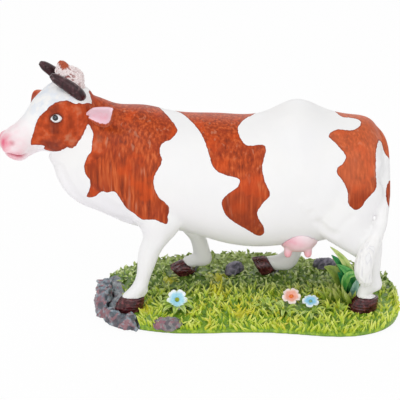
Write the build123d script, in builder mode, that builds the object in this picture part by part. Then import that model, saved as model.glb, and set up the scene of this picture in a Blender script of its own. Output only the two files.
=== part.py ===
from build123d import *
from math import cos, radians, sin, tan
import os

# Cow figurine of painted cast resin: the nose points to -X, the near side of the cow is -Y.
# The origin lies on the resting plane, under the middle of the figure's length.

# Trunk and neck, from the rump to the end of the neck
rump_reach = 135
trunk_length = 233
trunk_width = 79
trunk_depth = 111.5
back_height = 152.6
neck_lean = 31
neck_turn = 5

# Head, with its origin at the poll
head_length = 64
head_depth = 53.3
head_width = 34
head_pitch = 21
head_yaw = 21
poll_rise = 17.5
horn_length = 33
horn_thickness = 8.8
ear_length = 26
ear_height = 13
ear_thickness = 3.6
ear_sweep = 29
eye_radius = 5.5
eye_standoff = 1.5
forelock_height = 26
forelock_width = 20

# Legs and feet
stance_width = 46
front_leg_thickness = 13
rear_leg_thickness = 14
hoof_length = 20.5
hoof_width = 15
hoof_height = 9.6
cleft_width = 1
cleft_depth = 4.5
cleft_lean = 12
front_flex = 42
rear_flex = 58

# Udder and tail
udder_length = 36
udder_width = 40
udder_drop = 20
udder_hang = 2.7
teat_radius = 2.9
teat_length = 10
teat_root = 6
tail_thickness = 9.5
tail_swing = 40
switch_thickness = 13

# Base, with its ground rising towards the far side
base_margin_long = 16.5
base_margin_side = 30
ground_height = 14.2
ground_slope = 11.3
rim_round = 2.2
felt_thickness = 1
felt_recess = 0.6
felt_margin = 7

# Tufts of grass, in rows on the mound
tuft_pitch = 8.4
tuft_length = 7
tuft_width = 5.2
tuft_height = 4.2
tuft_sink = 0.6
tuft_margin = 7.5
tuft_sway = 42
tuft_turn = 137.5

# Stones, leaves and flowers
corner_rock_height = 22
edge_stone_length = 23
edge_stone_height = 6
back_stone_length = 19
back_stone_height = 7
leaf_reach = 42
leaf_width = 15
leaf_thickness = 2
flower_radius = 8
petal_thickness = 1.4
flower_centre_radius = 1.9
flower_stem_radius = 1.1
flower_stem_seat = 3
flower_lift = 5
flower_tilt = 60

# Steel rods, cast pegs and their fits
pin_radius = 1.2
pin_length = 25
pin_seat = 7
fit_gap = 0.1
sink = 3
leg_peg_radius = 4
leg_peg_length = 30
head_peg_radius = 8
head_peg_length = 16
horn_peg_radius = 2.2
horn_peg_length = 16
ear_peg_radius = 1.4
ear_peg_length = 9
tail_peg_radius = 3
tail_peg_length = 10
udder_peg_radius = 6

# Closed outlines, as shares of half a width and half a height
round_shares = [(cos(radians(turn)), sin(radians(turn))) for turn in range(0, 360, 45)]
barrel_shares = [
    (0, 1), (0.36, 0.93), (0.68, 0.72), (0.92, 0.36), (1, -0.08), (0.88, -0.52), (0.5, -0.87),
    (0, -1), (-0.5, -0.87), (-0.88, -0.52), (-1, -0.08), (-0.92, 0.36), (-0.68, 0.72), (-0.36, 0.93),
]
skull_shares = [
    (0, 1), (0.5, 0.9), (0.86, 0.56), (1, 0.08), (0.84, -0.46), (0.5, -0.86),
    (0, -1), (-0.5, -0.86), (-0.84, -0.46), (-1, 0.08), (-0.86, 0.56), (-0.5, 0.9),
]

# Sections of the trunk: place along it, height of the middle, depth, width, lean and turn
trunk_shares = [
    (0, 0.8126, 0.108, 0.2, 0, 0),
    (0.012, 0.796, 0.386, 0.5, 0, 0),
    (0.042, 0.773, 0.61, 0.7, 0, 0),
    (0.105, 0.7274, 0.789, 0.84, 0, 0),
    (0.185, 0.711, 0.915, 0.92, 0, 0),
    (0.27, 0.7258, 1, 0.96, 0, 0),
    (0.373, 0.688, 0.933, 1, 0, 0),
    (0.515, 0.6963, 0.883, 0.99, 0, 0),
    (0.656, 0.7307, 0.816, 0.92, 0, 0),
    (0.76, 0.7536, 0.843, 0.84, 0.1, 0),
    (0.867, 0.796, 0.758, 0.7, 0.36, 0),
    (0.931, 0.8434, 0.7175, 0.57, 0.66, 0.25),
    (0.972, 0.912, 0.619, 0.48, 0.84, 0.65),
    (1, 0.9744, 0.515, 0.42, 1, 1),
]

# Sections of the head: place ahead of the poll, height of the middle, depth and width
head_shares = [
    (-0.195, -0.04, 0.34, 0.44),
    (-0.13, -0.075, 0.638, 0.72),
    (0, -0.07, 0.91, 0.94),
    (0.163, -0.044, 1, 1),
    (0.326, -0.06, 0.93, 1.04),
    (0.456, -0.0685, 0.812, 0.9),
    (0.586, -0.061, 0.591, 0.69),
    (0.717, -0.0826, 0.503, 0.68),
    (0.83, -0.0966, 0.456, 0.77),
    (0.928, -0.084, 0.394, 0.72),
    (0.982, -0.07, 0.25, 0.5),
    (1, -0.065, 0.12, 0.26),
]

# Horn: places out, up and ahead of the poll as shares of its length, then thickness
horn_shares = [
    (0.29, 0.12, -0.03, 0.98),
    (0.355, 0.31, -0.05, 1),
    (0.4, 0.5, -0.02, 1),
    (0.41, 0.7, 0.12, 0.96),
    (0.375, 0.88, 0.24, 0.86),
    (0.35, 1.0, 0.33, 0.6),
    (0.345, 1.035, 0.355, 0.25),
]

# Ear: place along it, height and thickness
ear_shares = [(0, 0.42, 1), (0.22, 0.72, 1), (0.52, 1, 0.86), (0.8, 0.66, 0.7), (1, 0.12, 0.4)]

# Forelock: height, place ahead, breadth ahead and width
forelock_shares = [
    (0.35, 0.04, 1, 1.05),
    (0.72, 0.02, 1, 1.04),
    (1, 0, 0.84, 0.9),
    (1.2, -0.02, 0.62, 0.6),
    (1.33, -0.03, 0.38, 0.34),
    (1.4, -0.04, 0.14, 0.12),
]

# Legs, coronet first: rise and shift ahead as shares of the leg's height over the coronet,
# shift outwards as a share of the hoof's width, length and width as shares of its thickness
front_left_shares = [
    (0, 0, 0, 1.38, 1.08, 0),
    (0.055, 0.03, 0, 1.1, 0.98, 0),
    (0.1, 0.065, 0, 1.02, 0.98, 0),
    (0.18, 0.1, 0, 0.88, 0.86, 0),
    (0.26, 0.125, 0, 0.9, 0.93, 0),
    (0.35, 0.146, 0, 1.04, 1.05, 0),
    (0.44, 0.165, 0, 1.2, 1.16, 0),
    (0.56, 0.207, 0, 1.4, 1.3, 0),
    (0.64, 0.255, 0, 1.62, 1.42, 0),
    (0.74, 0.29, 0.02, 2.1, 1.6, 0),
    (0.86, 0.27, 0.04, 2.8, 1.76, 0),
    (1, 0.204, 0.02, 3.2, 1.7, 0),
    (1.15, 0.149, -0.05, 3.1, 1.5, 0),
    (1.28, 0.12, -0.2, 2.3, 1.1, 0),
]
front_right_shares = [
    (0, 0, 0, 1.08, 0.83, 42),
    (0.059, 0.085, 0, 1.05, 0.86, 38),
    (0.105, 0.16, 0, 1.22, 0.94, 24),
    (0.212, 0.145, 0, 1.06, 0.92, 4),
    (0.34, 0.109, 0, 1, 1, -4),
    (0.476, 0.024, 0, 1.2, 1.16, -6),
    (0.61, -0.03, 0, 1.5, 1.34, -4),
    (0.824, -0.14, 0.04, 2.4, 1.6, 0),
    (1, -0.2, 0.02, 2.8, 1.6, 0),
    (1.15, -0.22, -0.1, 2.2, 1.2, 0),
]
rear_left_shares = [
    (0, 0, 0, 1.18, 1, 0),
    (0.07, 0.005, 0, 0.98, 0.9, 0),
    (0.125, 0.03, 0, 1.14, 0.92, 0),
    (0.18, 0.028, 0, 0.98, 0.84, 0),
    (0.26, 0.025, 0, 1.02, 0.88, 0),
    (0.325, 0.005, 0, 1.32, 1.02, 0),
    (0.375, -0.03, 0, 1.86, 1.14, 0),
    (0.43, -0.075, 0, 2.46, 1.26, 0),
    (0.49, -0.125, 0, 3.05, 1.42, 0),
    (0.6, -0.21, 0.03, 3.15, 1.7, 0),
    (0.75, -0.2, 0.05, 3.4, 1.8, 0),
    (0.9, -0.165, 0.02, 3.4, 1.75, 0),
    (1.03, -0.165, -0.08, 2.9, 1.45, 0),
    (1.13, -0.175, -0.3, 2, 0.9, 0),
]
rear_right_shares = [
    (0, 0, 0, 1, 0.77, 58),
    (0.006, 0.056, 0, 1, 0.84, 56),
    (0.014, 0.112, 0, 1.12, 0.9, 48),
    (0.079, 0.18, 0, 1, 0.88, 34),
    (0.18, 0.219, 0, 0.93, 0.86, 16),
    (0.326, 0.275, 0, 1.3, 1.04, 4),
    (0.506, 0.365, 0.02, 2.5, 1.4, 0),
    (0.708, 0.455, 0.05, 3.3, 1.78, 0),
    (0.91, 0.5, 0.02, 3.3, 1.7, 0),
    (1.05, 0.5, -0.1, 2.8, 1.4, 0),
    (1.13, 0.5, -0.3, 2, 0.9, 0),
]

# Places on the head as shares of its width, depth and length
ear_out_share = 0.4
ear_up_share = -0.07
ear_ahead_share = 0
eye_out_share = 0.46
eye_up_share = 0.1
eye_ahead_share = 0.353

# Places of the udder on the trunk
udder_along_share = 0.262
udder_side_share = 0.3
udder_peg_share = 0.06
teat_round_share = 0.9

# Places of the feet along the trunk, the roots of the legs on the back height,
# and the hooves that are lifted at the heel
front_left_share = 0.808
front_right_share = 0.645
rear_left_share = 0.05
rear_right_share = 0.374
front_root_share = 0.6
rear_root_share = 0.76
flexed_hoof_share = 0.8
front_lift_share = 0.25
rear_lift_share = 0.6

# Rows of the tables at which a peg or a rod starts or ends, and at which the belly hangs lowest
belly_row = 5
front_left_thigh_row = 8
front_right_thigh_row = 5
rear_left_thigh_row = 7
rear_right_thigh_row = 5
hip_row = -3
fetlock_row = 2
horn_base_row = 2
tail_root_row = 3

# Hoof: rise, length, width and shift back as shares of the hoof's own sizes
hoof_shares = [(-0.35, 1, 1, -0.02), (0, 1, 1, 0), (0.45, 0.97, 0.98, 0.05), (1, 0.86, 0.9, 0.12)]

# Udder: rise, length and width
udder_shares = [(0, 0.3, 0.3), (0.06, 0.56, 0.58), (0.24, 0.8, 0.82), (0.55, 0.95, 0.97), (1.1, 1, 1)]
teat_places_shares = [(-0.22, -0.24), (0.2, -0.24), (-0.22, 0.24), (0.2, 0.24)]

# Tail: place behind the rump, height and shift to the near side, then thickness
tail_shares = [
    (-0.075, 0.96, 0, 0.9),
    (-0.04, 0.945, 0.02, 1.02),
    (-0.012, 0.905, 0.07, 1),
    (0.0017, 0.845, 0.16, 0.95),
    (0.0036, 0.76, 0.3, 0.98),
    (0.0045, 0.68, 0.42, 0.98),
    (0.003, 0.62, 0.53, 0.94),
    (-0.003, 0.55, 0.66, 0.94),
    (-0.015, 0.495, 0.78, 0.98),
]
switch_shares = [
    (-0.015, 0.495, 0.78, 0.71),
    (-0.036, 0.436, 0.86, 0.84),
    (-0.055, 0.375, 0.92, 0.96),
    (-0.062, 0.315, 0.94, 0.98),
    (-0.057, 0.262, 0.93, 0.78),
    (-0.044, 0.226, 0.9, 0.34),
]

# Outlines seen from above, as shares of half the base
base_outline_shares = [
    (-0.985, 0.06), (-0.93, -0.38), (-0.83, -0.66), (-0.66, -0.85), (-0.42, -0.95), (-0.15, -0.93),
    (0.1, -0.92), (0.38, -1), (0.65, -1.05), (0.89, -0.82), (1, -0.4), (1.01, 0.08),
    (0.94, 0.46), (0.76, 0.72), (0.46, 0.84), (0.12, 0.98), (-0.3, 0.97), (-0.66, 0.79), (-0.88, 0.48),
]
rock_back_shares = [(-1.02, 0.12), (-0.995, -0.38), (-0.92, -0.47), (-0.885, -0.25), (-0.875, 0.06), (-0.92, 0.22)]
rock_front_shares = [
    (-0.97, -0.2), (-0.93, -0.6), (-0.82, -0.82), (-0.71, -0.9), (-0.69, -0.68), (-0.8, -0.62), (-0.9, -0.4),
]
rock_front_height_share = 0.52
rock_top_share = 0.72

# Flowers: places on the base as shares of half of it
petal_count = 5
first_petal_turn = 90
petal_length_share = 0.42
petal_width_share = 0.36
petal_place_share = 0.58
flower_hub_share = 0.45
flower_places_shares = {
    "front_blue_flower": (-0.455, -0.38, 1),
    "orange_flower": (0.285, -0.28, 1.08),
    "rear_blue_flower": (0.41, -0.42, 0.94),
}

# Leaves of the plant: the tip as shares of the leaf reach, then the width
plant_place_shares = (0.66, -0.27)
leaf_belly_share = 0.45
leaf_tip_shares = [
    (-0.4, -0.14, 1.1, 0.8),
    (-0.28, -0.3, 0.93, 0.9),
    (-0.46, -0.06, 0.46, 0.95),
    (0.1, -0.3, 0.56, 0.62),
    (-0.08, 0.3, 0.72, 0.8),
]
crown_shares = [(-0.3, 1), (0, 1), (0.3, 0.8), (0.5, 0.3)]
tuft_tip_along_shares = (0.04, 0.26)
tuft_tip_across_shares = (0.3, 0.62)
stone_width_share = 0.66
edge_stone_place_shares = (-0.515, -0.84)
back_left_place_shares = (-0.07, 0.5)
back_right_place_shares = (0.55, 0.62)
pebble_shares = [
    (1, 0.1), (0.8, 0.72), (0.1, 0.98), (-0.66, 0.8), (-1, 0.06), (-0.72, -0.76), (0.05, -1), (0.74, -0.68),
]
stone_shares = [(-0.3, 1), (0, 1), (0.4, 0.93), (0.75, 0.7), (0.95, 0.36), (1, 0.12)]


def smooth_form(sections, outline_shares):
    # One smooth solid through sections, each a plane, a width and a height
    with BuildPart() as form:
        for place, width, height in sections:
            points = [(width / 2 * across, height / 2 * up) for across, up in outline_shares]
            with BuildSketch(place):
                with BuildLine():
                    Spline(points, periodic=True)
                make_face()
        loft()
    return form.part


def path_form(points, widths, heights, side, outline_shares=round_shares):
    # A smooth limb along points, its sections square to the way that the points run
    sections = []
    for step, point in enumerate(points):
        before = points[max(step - 1, 0)]
        after = points[min(step + 1, len(points) - 1)]
        sections.append((Plane(origin=point, x_dir=side, z_dir=after - before), widths[step], heights[step]))
    return smooth_form(sections, outline_shares)


def seated(form, *carriers):
    # What is left of a piece when its carriers are cut away
    with BuildPart() as rest:
        add(form)
        for carrier in carriers:
            add(carrier, mode=Mode.SUBTRACT)
    return rest.solids().sort_by(SortBy.VOLUME)[-1]


def rod(place, radius, length):
    with BuildPart() as solid:
        with BuildSketch(place):
            Circle(radius)
        extrude(amount=length)
    return solid.part


def socket(place, radius, length):
    return rod(place, radius + fit_gap, length + fit_gap)


def ball(place, radius):
    with BuildPart(Plane(origin=place)) as solid:
        Sphere(radius)
    return solid.part


def cleft(sole, size_share):
    # The split between the two toes, cut into the front of a hoof
    toe = sole.from_local_coords(Vector(-hoof_length * size_share / 2, 0, 0))
    lean = radians(cleft_lean)
    along = sole.x_dir * cos(lean) - sole.z_dir * sin(lean)
    upright = sole.x_dir * sin(lean) + sole.z_dir * cos(lean)
    with BuildPart(Plane(origin=toe, x_dir=along, z_dir=upright)) as slot:
        Box(2 * cleft_depth * size_share, cleft_width, 2 * hoof_length)
    return slot.part


# Trunk
trunk_sections = []
for along_share, rise_share, depth_share, width_share, lean_share, turn_share in trunk_shares:
    lean = radians(neck_lean * lean_share)
    along = rump_reach - trunk_length * along_share
    middle = Vector(along, -neck_turn * turn_share, back_height * rise_share)
    section_plane = Plane(origin=middle, x_dir=(0, -1, 0), z_dir=(-cos(lean), 0, sin(lean)))
    trunk_sections.append((section_plane, trunk_width * width_share, trunk_depth * depth_share))
trunk_form = smooth_form(trunk_sections, barrel_shares)

# Head frame: x out to the near side, y up, z ahead to the nose
neck_end = trunk_sections[-1][0]
pitch = radians(head_pitch)
yaw = radians(head_yaw)
ahead = Vector(-cos(pitch) * cos(yaw), -cos(pitch) * sin(yaw), -sin(pitch))
outward = Vector(sin(yaw), -cos(yaw), 0)
head_frame = Plane(origin=neck_end.origin + neck_end.y_dir * poll_rise, x_dir=outward, z_dir=ahead)


def in_head(out, up, forward):
    return head_frame.from_local_coords(Vector(out, up, forward))


head_sections = []
for forward_share, rise_share, depth_share, width_share in head_shares:
    middle = in_head(0, head_depth * rise_share, head_length * forward_share)
    section_plane = Plane(origin=middle, x_dir=head_frame.x_dir, z_dir=head_frame.z_dir)
    head_sections.append((section_plane, head_width * width_share, head_depth * depth_share))
head_form = smooth_form(head_sections, skull_shares)

# Ground, and the places of the feet on it
slope = radians(ground_slope)
foot_side = stance_width / 2
front_left_x = rump_reach - trunk_length * front_left_share
front_right_x = rump_reach - trunk_length * front_right_share
rear_left_x = rump_reach - trunk_length * rear_left_share
rear_right_x = rump_reach - trunk_length * rear_right_share


def ground_at(side):
    return ground_height + side * tan(slope)


base_length = rear_left_x - front_left_x + hoof_length + 2 * base_margin_long
base_width = stance_width + 2 * base_margin_side
base_middle_x = (rear_left_x + front_left_x) / 2
ground_plane = Plane(
    origin=(base_middle_x, 0, ground_height), x_dir=(1, 0, 0), z_dir=(0, -sin(slope), cos(slope))
)
rim_height = felt_thickness - felt_recess


def on_base(shares, scale=1):
    return [
        (base_middle_x + base_length / 2 * along * scale, base_width / 2 * side * scale)
        for along, side in shares
    ]


with BuildPart() as mound:
    with BuildSketch(Plane.XY.offset(rim_height)):
        with BuildLine():
            Spline(on_base(base_outline_shares), periodic=True)
        make_face()
    extrude(amount=ground_height + base_width)
    split(bisect_by=ground_plane, keep=Keep.BOTTOM)
    fillet(mound.faces().sort_by(Axis.Z)[-1].edges(), radius=rim_round)

# Hooves and legs
feet = {
    "front_left": (
        front_left_x, -foot_side, front_left_shares, front_leg_thickness, front_root_share,
        0, 1, 0, front_left_thigh_row,
    ),
    "front_right": (
        front_right_x, foot_side, front_right_shares, front_leg_thickness, front_root_share,
        front_flex, flexed_hoof_share, front_lift_share, front_right_thigh_row,
    ),
    "rear_left": (
        rear_left_x, -foot_side, rear_left_shares, rear_leg_thickness, rear_root_share,
        0, 1, 0, rear_left_thigh_row,
    ),
    "rear_right": (
        rear_right_x, foot_side, rear_right_shares, rear_leg_thickness, rear_root_share,
        rear_flex, flexed_hoof_share, rear_lift_share, rear_right_thigh_row,
    ),
}
soles = {}
foot_scales = {}
hoof_forms = {}
leg_forms = {}
pins = {}
leg_pegs = {}
bare_spots = []
for name, foot in feet.items():
    foot_x, foot_y, shares, thickness, root_share, flex, size_share, lift_share, thigh_row = foot
    turn = radians(flex)
    sole_height = ground_at(foot_y) + hoof_height * lift_share
    sole = Plane(
        origin=(foot_x, foot_y, sole_height),
        x_dir=(cos(turn), 0, -sin(turn)),
        z_dir=(sin(turn), 0, cos(turn)),
    )
    soles[name] = sole
    foot_scales[name] = size_share
    hoof_sections = []
    for rise_share, length_share, width_share, back_share in hoof_shares:
        reach = Vector(hoof_length * back_share, 0, hoof_height * rise_share) * size_share
        middle = sole.from_local_coords(reach)
        section_plane = Plane(origin=middle, x_dir=sole.x_dir, z_dir=sole.z_dir)
        length = hoof_length * length_share * size_share
        width = hoof_width * width_share * size_share
        hoof_sections.append((section_plane, length, width))
    hoof_forms[name] = smooth_form(hoof_sections, round_shares)
    coronet = hoof_sections[-1][0].origin
    leg_height = back_height * root_share - coronet.Z
    outwards = -1 if foot_y < 0 else 1
    leg_sections = []
    for rise_share, ahead_share, out_share, length_share, width_share, lean in shares:
        middle = coronet + Vector(
            leg_height * ahead_share, hoof_width * out_share * outwards, leg_height * rise_share
        )
        angle = radians(lean)
        section_plane = Plane(
            origin=middle, x_dir=(cos(angle), 0, -sin(angle)), z_dir=(sin(angle), 0, cos(angle))
        )
        leg_sections.append((section_plane, thickness * length_share, thickness * width_share))
    leg_forms[name] = smooth_form(leg_sections, round_shares)
    pin_foot = Vector(coronet.X, foot_y, ground_at(foot_y) - pin_seat)
    fetlock = leg_sections[fetlock_row][0].origin
    pins[name] = Plane(origin=pin_foot, z_dir=fetlock - pin_foot)
    bare_spots.append((Vector(foot_x, foot_y), hoof_length * size_share / 2))
    bare_spots.append((Vector(fetlock.X, fetlock.Y), thickness / 2))
    thigh = leg_sections[thigh_row][0].origin
    hip = leg_sections[hip_row][0].origin
    leg_pegs[name] = Plane(origin=thigh, z_dir=hip - thigh)


# Horns, ears and eyes, the near one first
horn_forms = []
horn_pegs = []
ear_forms = []
ear_pegs = []
eye_places = []
for side in (1, -1):
    path = [
        in_head(horn_length * out * side, horn_length * up, horn_length * forward)
        for out, up, forward, _ in horn_shares
    ]
    girths = [horn_thickness * girth for _, _, _, girth in horn_shares]
    horn_forms.append(path_form(path, girths, girths, head_frame.z_dir))
    horn_pegs.append(Plane(origin=path[horn_base_row], z_dir=path[0] - path[horn_base_row]))
    ear_root = in_head(
        head_width * ear_out_share * side, head_depth * ear_up_share, head_length * ear_ahead_share
    )
    ear_way = in_head(side * cos(radians(ear_sweep)), 0, -sin(radians(ear_sweep))) - in_head(0, 0, 0)
    ear_face = in_head(side * sin(radians(ear_sweep)), 0, cos(radians(ear_sweep))) - in_head(0, 0, 0)
    path = [ear_root + ear_way * (ear_length * along) for along, _, _ in ear_shares]
    heights = [ear_height * height for _, height, _ in ear_shares]
    thicknesses = [ear_thickness * thickness for _, _, thickness in ear_shares]
    ear_forms.append(path_form(path, thicknesses, heights, ear_face))
    ear_pegs.append(Plane(origin=path[1], z_dir=-ear_way))
    eye_places.append(
        in_head(
            (head_width * eye_out_share - eye_radius + eye_standoff) * side,
            head_depth * eye_up_share,
            head_length * eye_ahead_share,
        )
    )

# Forelock between the horns
forelock_sections = []
for up_share, ahead_share, breadth_share, width_share in forelock_shares:
    middle = in_head(0, forelock_height * up_share, forelock_width * ahead_share)
    section_plane = Plane(origin=middle, x_dir=head_frame.x_dir, z_dir=head_frame.y_dir)
    forelock_sections.append((section_plane, forelock_width * width_share, forelock_width * breadth_share))
forelock_form = smooth_form(forelock_sections, round_shares)

# Udder and teats
udder_place = Vector(rump_reach - trunk_length * udder_along_share, -foot_side * udder_side_share, 0)
belly_plane, _, belly_depth = trunk_sections[belly_row]
udder_floor = belly_plane.origin.Z - belly_depth / 2 - udder_hang
udder_sections = []
for rise_share, length_share, width_share in udder_shares:
    section_plane = Plane(origin=udder_place + Vector(0, 0, udder_floor + udder_drop * rise_share))
    udder_sections.append((section_plane, udder_length * length_share, udder_width * width_share))
udder_form = smooth_form(udder_sections, round_shares)
with BuildPart() as teats:
    for along_share, side_share in teat_places_shares:
        reach = Vector(udder_length * along_share, udder_width * side_share, udder_floor + teat_root)
        root = udder_place + reach
        with BuildSketch(Plane(origin=root)):
            Circle(teat_radius)
        extrude(amount=-teat_length)
    fillet(teats.faces().group_by(Axis.Z)[0].edges(), radius=teat_radius * teat_round_share)

# Tail and the tuft at its end
tail_points = []
for back_share, rise_share, near_share, _ in tail_shares:
    tail_points.append(
        Vector(rump_reach + trunk_length * back_share, -tail_swing * near_share, back_height * rise_share)
    )
tail_girths = [tail_thickness * girth for *_, girth in tail_shares]
tail_form = path_form(tail_points, tail_girths, tail_girths, (0, -1, 0))
switch_points = []
for back_share, rise_share, near_share, _ in switch_shares:
    switch_points.append(
        Vector(rump_reach + trunk_length * back_share, -tail_swing * near_share, back_height * rise_share)
    )
switch_girths = [switch_thickness * girth for *_, girth in switch_shares]
switch_form = path_form(switch_points, switch_girths, switch_girths, (0, -1, 0))

# Trunk with sockets for everything that is pegged into it
head_peg = Plane(origin=neck_end.origin + neck_end.z_dir * sink, z_dir=-neck_end.z_dir)
tail_peg = Plane(origin=tail_points[tail_root_row], z_dir=(-1, 0, 0))
udder_peg = Plane(origin=udder_place + Vector(0, 0, udder_floor + udder_drop * udder_peg_share))
with BuildPart() as body_casting:
    add(trunk_form)
    for place in leg_pegs.values():
        add(socket(place, leg_peg_radius, leg_peg_length), mode=Mode.SUBTRACT)
    add(socket(head_peg, head_peg_radius, head_peg_length), mode=Mode.SUBTRACT)
    add(socket(tail_peg, tail_peg_radius, tail_peg_length), mode=Mode.SUBTRACT)
    add(socket(udder_peg, udder_peg_radius, udder_drop), mode=Mode.SUBTRACT)

with BuildPart() as head_casting:
    add(seated(head_form, trunk_form))
    add(rod(head_peg, head_peg_radius, head_peg_length))
    for place in horn_pegs:
        add(socket(place, horn_peg_radius, horn_peg_length), mode=Mode.SUBTRACT)
    for place in ear_pegs:
        add(socket(place, ear_peg_radius, ear_peg_length), mode=Mode.SUBTRACT)
    for place in eye_places:
        add(ball(place, eye_radius + fit_gap), mode=Mode.SUBTRACT)

# Pieces that are pegged into the head, the near one first
horns = []
ears = []
for horn_form, place in zip(horn_forms, horn_pegs):
    with BuildPart() as horn:
        add(seated(horn_form, head_form))
        add(seated(rod(place, horn_peg_radius, horn_peg_length), trunk_form))
    horns.append(horn.part)
for ear_form, place in zip(ear_forms, ear_pegs):
    with BuildPart() as ear:
        add(seated(ear_form, head_form, trunk_form))
        add(seated(rod(place, ear_peg_radius, ear_peg_length), trunk_form))
    ears.append(ear.part)
eyes = [ball(place, eye_radius) for place in eye_places]
forelock = seated(forelock_form, head_form, trunk_form, *horn_forms)

# Pieces that are pegged into the trunk
with BuildPart() as udder:
    add(seated(udder_form, trunk_form, leg_forms["rear_left"], leg_forms["rear_right"]))
    add(teats.part)
    add(trunk_form, mode=Mode.SUBTRACT)
    add(leg_forms["rear_right"], mode=Mode.SUBTRACT)
    add(rod(udder_peg, udder_peg_radius, udder_drop))
with BuildPart() as tail:
    add(seated(tail_form, trunk_form, leg_forms["rear_left"]))
    add(rod(tail_peg, tail_peg_radius, tail_peg_length))
tail_switch = seated(switch_form, tail_form, leg_forms["rear_left"], trunk_form)
legs = {}
hooves = {}
for name in feet:
    with BuildPart() as leg:
        add(seated(leg_forms[name], trunk_form, hoof_forms[name]))
        add(rod(leg_pegs[name], leg_peg_radius, leg_peg_length))
        add(socket(pins[name], pin_radius, pin_length), mode=Mode.SUBTRACT)
    legs[name] = leg.part
    with BuildPart() as hoof:
        add(seated(hoof_forms[name], mound.part))
        add(cleft(soles[name], foot_scales[name]), mode=Mode.SUBTRACT)
        add(socket(pins[name], pin_radius, pin_length), mode=Mode.SUBTRACT)
    hooves[name] = hoof.part
with BuildPart() as leg_pins:
    for place in pins.values():
        add(rod(place, pin_radius, pin_length))


def boulder(outline, height):
    # A craggy rock whose top is its outline drawn in towards the middle
    corners = [Vector(*corner) for corner in on_base(outline)]
    middle = sum(corners, Vector()) / len(corners)
    top_corners = [middle + (corner - middle) * rock_top_share for corner in corners]
    with BuildPart() as rock:
        for level, ring in ((felt_thickness, corners), (height, top_corners)):
            with BuildSketch(Plane.XY.offset(level)):
                with BuildLine():
                    Polyline(ring, close=True)
                make_face()
        loft(ruled=True)
    bare_spots.append((middle, max((corner - middle).length for corner in corners)))
    return rock.part


# Stones
with BuildPart() as corner_rock:
    add(boulder(rock_back_shares, corner_rock_height))
    add(boulder(rock_front_shares, corner_rock_height * rock_front_height_share))
    add(hoof_forms["front_left"], mode=Mode.SUBTRACT)


def stone(place_shares, length, height, turn_share):
    # A worn stone, half sunk in the ground
    (place,) = on_base([place_shares])
    foot = Vector(*place, ground_at(place[1]))
    bare_spots.append((Vector(*place), length / 2))
    sections = []
    for rise_share, girth_share in stone_shares:
        middle = foot + Vector(0, 0, height * rise_share)
        section_plane = Plane(origin=middle, x_dir=(1, turn_share, 0), z_dir=(0, 0, 1))
        sections.append((section_plane, length * girth_share, length * girth_share * stone_width_share))
    return smooth_form(sections, pebble_shares)


edge_stone = seated(stone(edge_stone_place_shares, edge_stone_length, edge_stone_height, 0), mound.part)
back_stone_left = seated(stone(back_left_place_shares, back_stone_length, back_stone_height, 1), mound.part)
back_stone_right = seated(stone(back_right_place_shares, back_stone_length, back_stone_height, 0), mound.part)

# Leaves beside the near hind leg, fanned out from one crown
((plant_x, plant_y),) = on_base([plant_place_shares])
crown_place = Vector(plant_x, plant_y, ground_at(plant_y))
bare_spots.append((Vector(plant_x, plant_y), leaf_width / 2))
leaf_forms = []
for along_share, side_share, rise_share, width_share in leaf_tip_shares:
    tip = Vector(along_share, side_share, rise_share) * leaf_reach
    blade_plane = Plane(origin=crown_place, x_dir=tip, z_dir=tip.cross(Vector(side_share - 1, 1, 0)))
    half_width = leaf_width * width_share / 2
    with BuildPart() as blade:
        with BuildSketch(blade_plane):
            with BuildLine():
                ThreePointArc((0, 0), (tip.length * leaf_belly_share, half_width), (tip.length, 0))
                ThreePointArc((0, 0), (tip.length * leaf_belly_share, -half_width), (tip.length, 0))
            make_face()
        extrude(amount=leaf_thickness / 2, both=True)
    leaf_forms.append(blade.part)
crown_sections = []
for rise_share, girth_share in crown_shares:
    crown_plane = Plane(origin=crown_place + Vector(0, 0, leaf_width * rise_share))
    crown_sections.append((crown_plane, leaf_width * girth_share, leaf_width * girth_share))
with BuildPart() as plant:
    add(smooth_form(crown_sections, round_shares))
    for form in leaf_forms:
        add(form)
leaf_plant = seated(plant.part, mound.part, leg_forms["rear_left"], trunk_form, hoof_forms["rear_left"])

# Flowers, each a ring of petals on a stem, with a round centre
flowers = {}
petal_rings = []
tilt = radians(flower_tilt)
for name, (along_share, side_share, size_share) in flower_places_shares.items():
    ((flower_x, flower_y),) = on_base([(along_share, side_share)])
    heart = Vector(flower_x, flower_y, ground_at(flower_y) + flower_lift)
    face_plane = Plane(origin=heart, x_dir=(1, 0, 0), z_dir=(0, -sin(tilt), cos(tilt)))
    radius = flower_radius * size_share
    bare_spots.append((Vector(flower_x, flower_y), radius))
    stem = Plane(origin=heart, z_dir=(0, 0, -1))
    with BuildPart() as petals:
        with BuildSketch(face_plane):
            Circle(radius * flower_hub_share)
            with PolarLocations(radius * petal_place_share, petal_count, start_angle=first_petal_turn):
                Ellipse(radius * petal_length_share, radius * petal_width_share)
        extrude(amount=petal_thickness)
        add(rod(stem, flower_stem_radius, flower_lift + flower_stem_seat))
    centre = seated(ball(heart + face_plane.z_dir * petal_thickness, flower_centre_radius), petals.part)
    petal_rings.append(petals.part)
    flowers[f"{name}_petals"] = petals.part
    flowers[f"{name}_centre"] = centre

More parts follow.
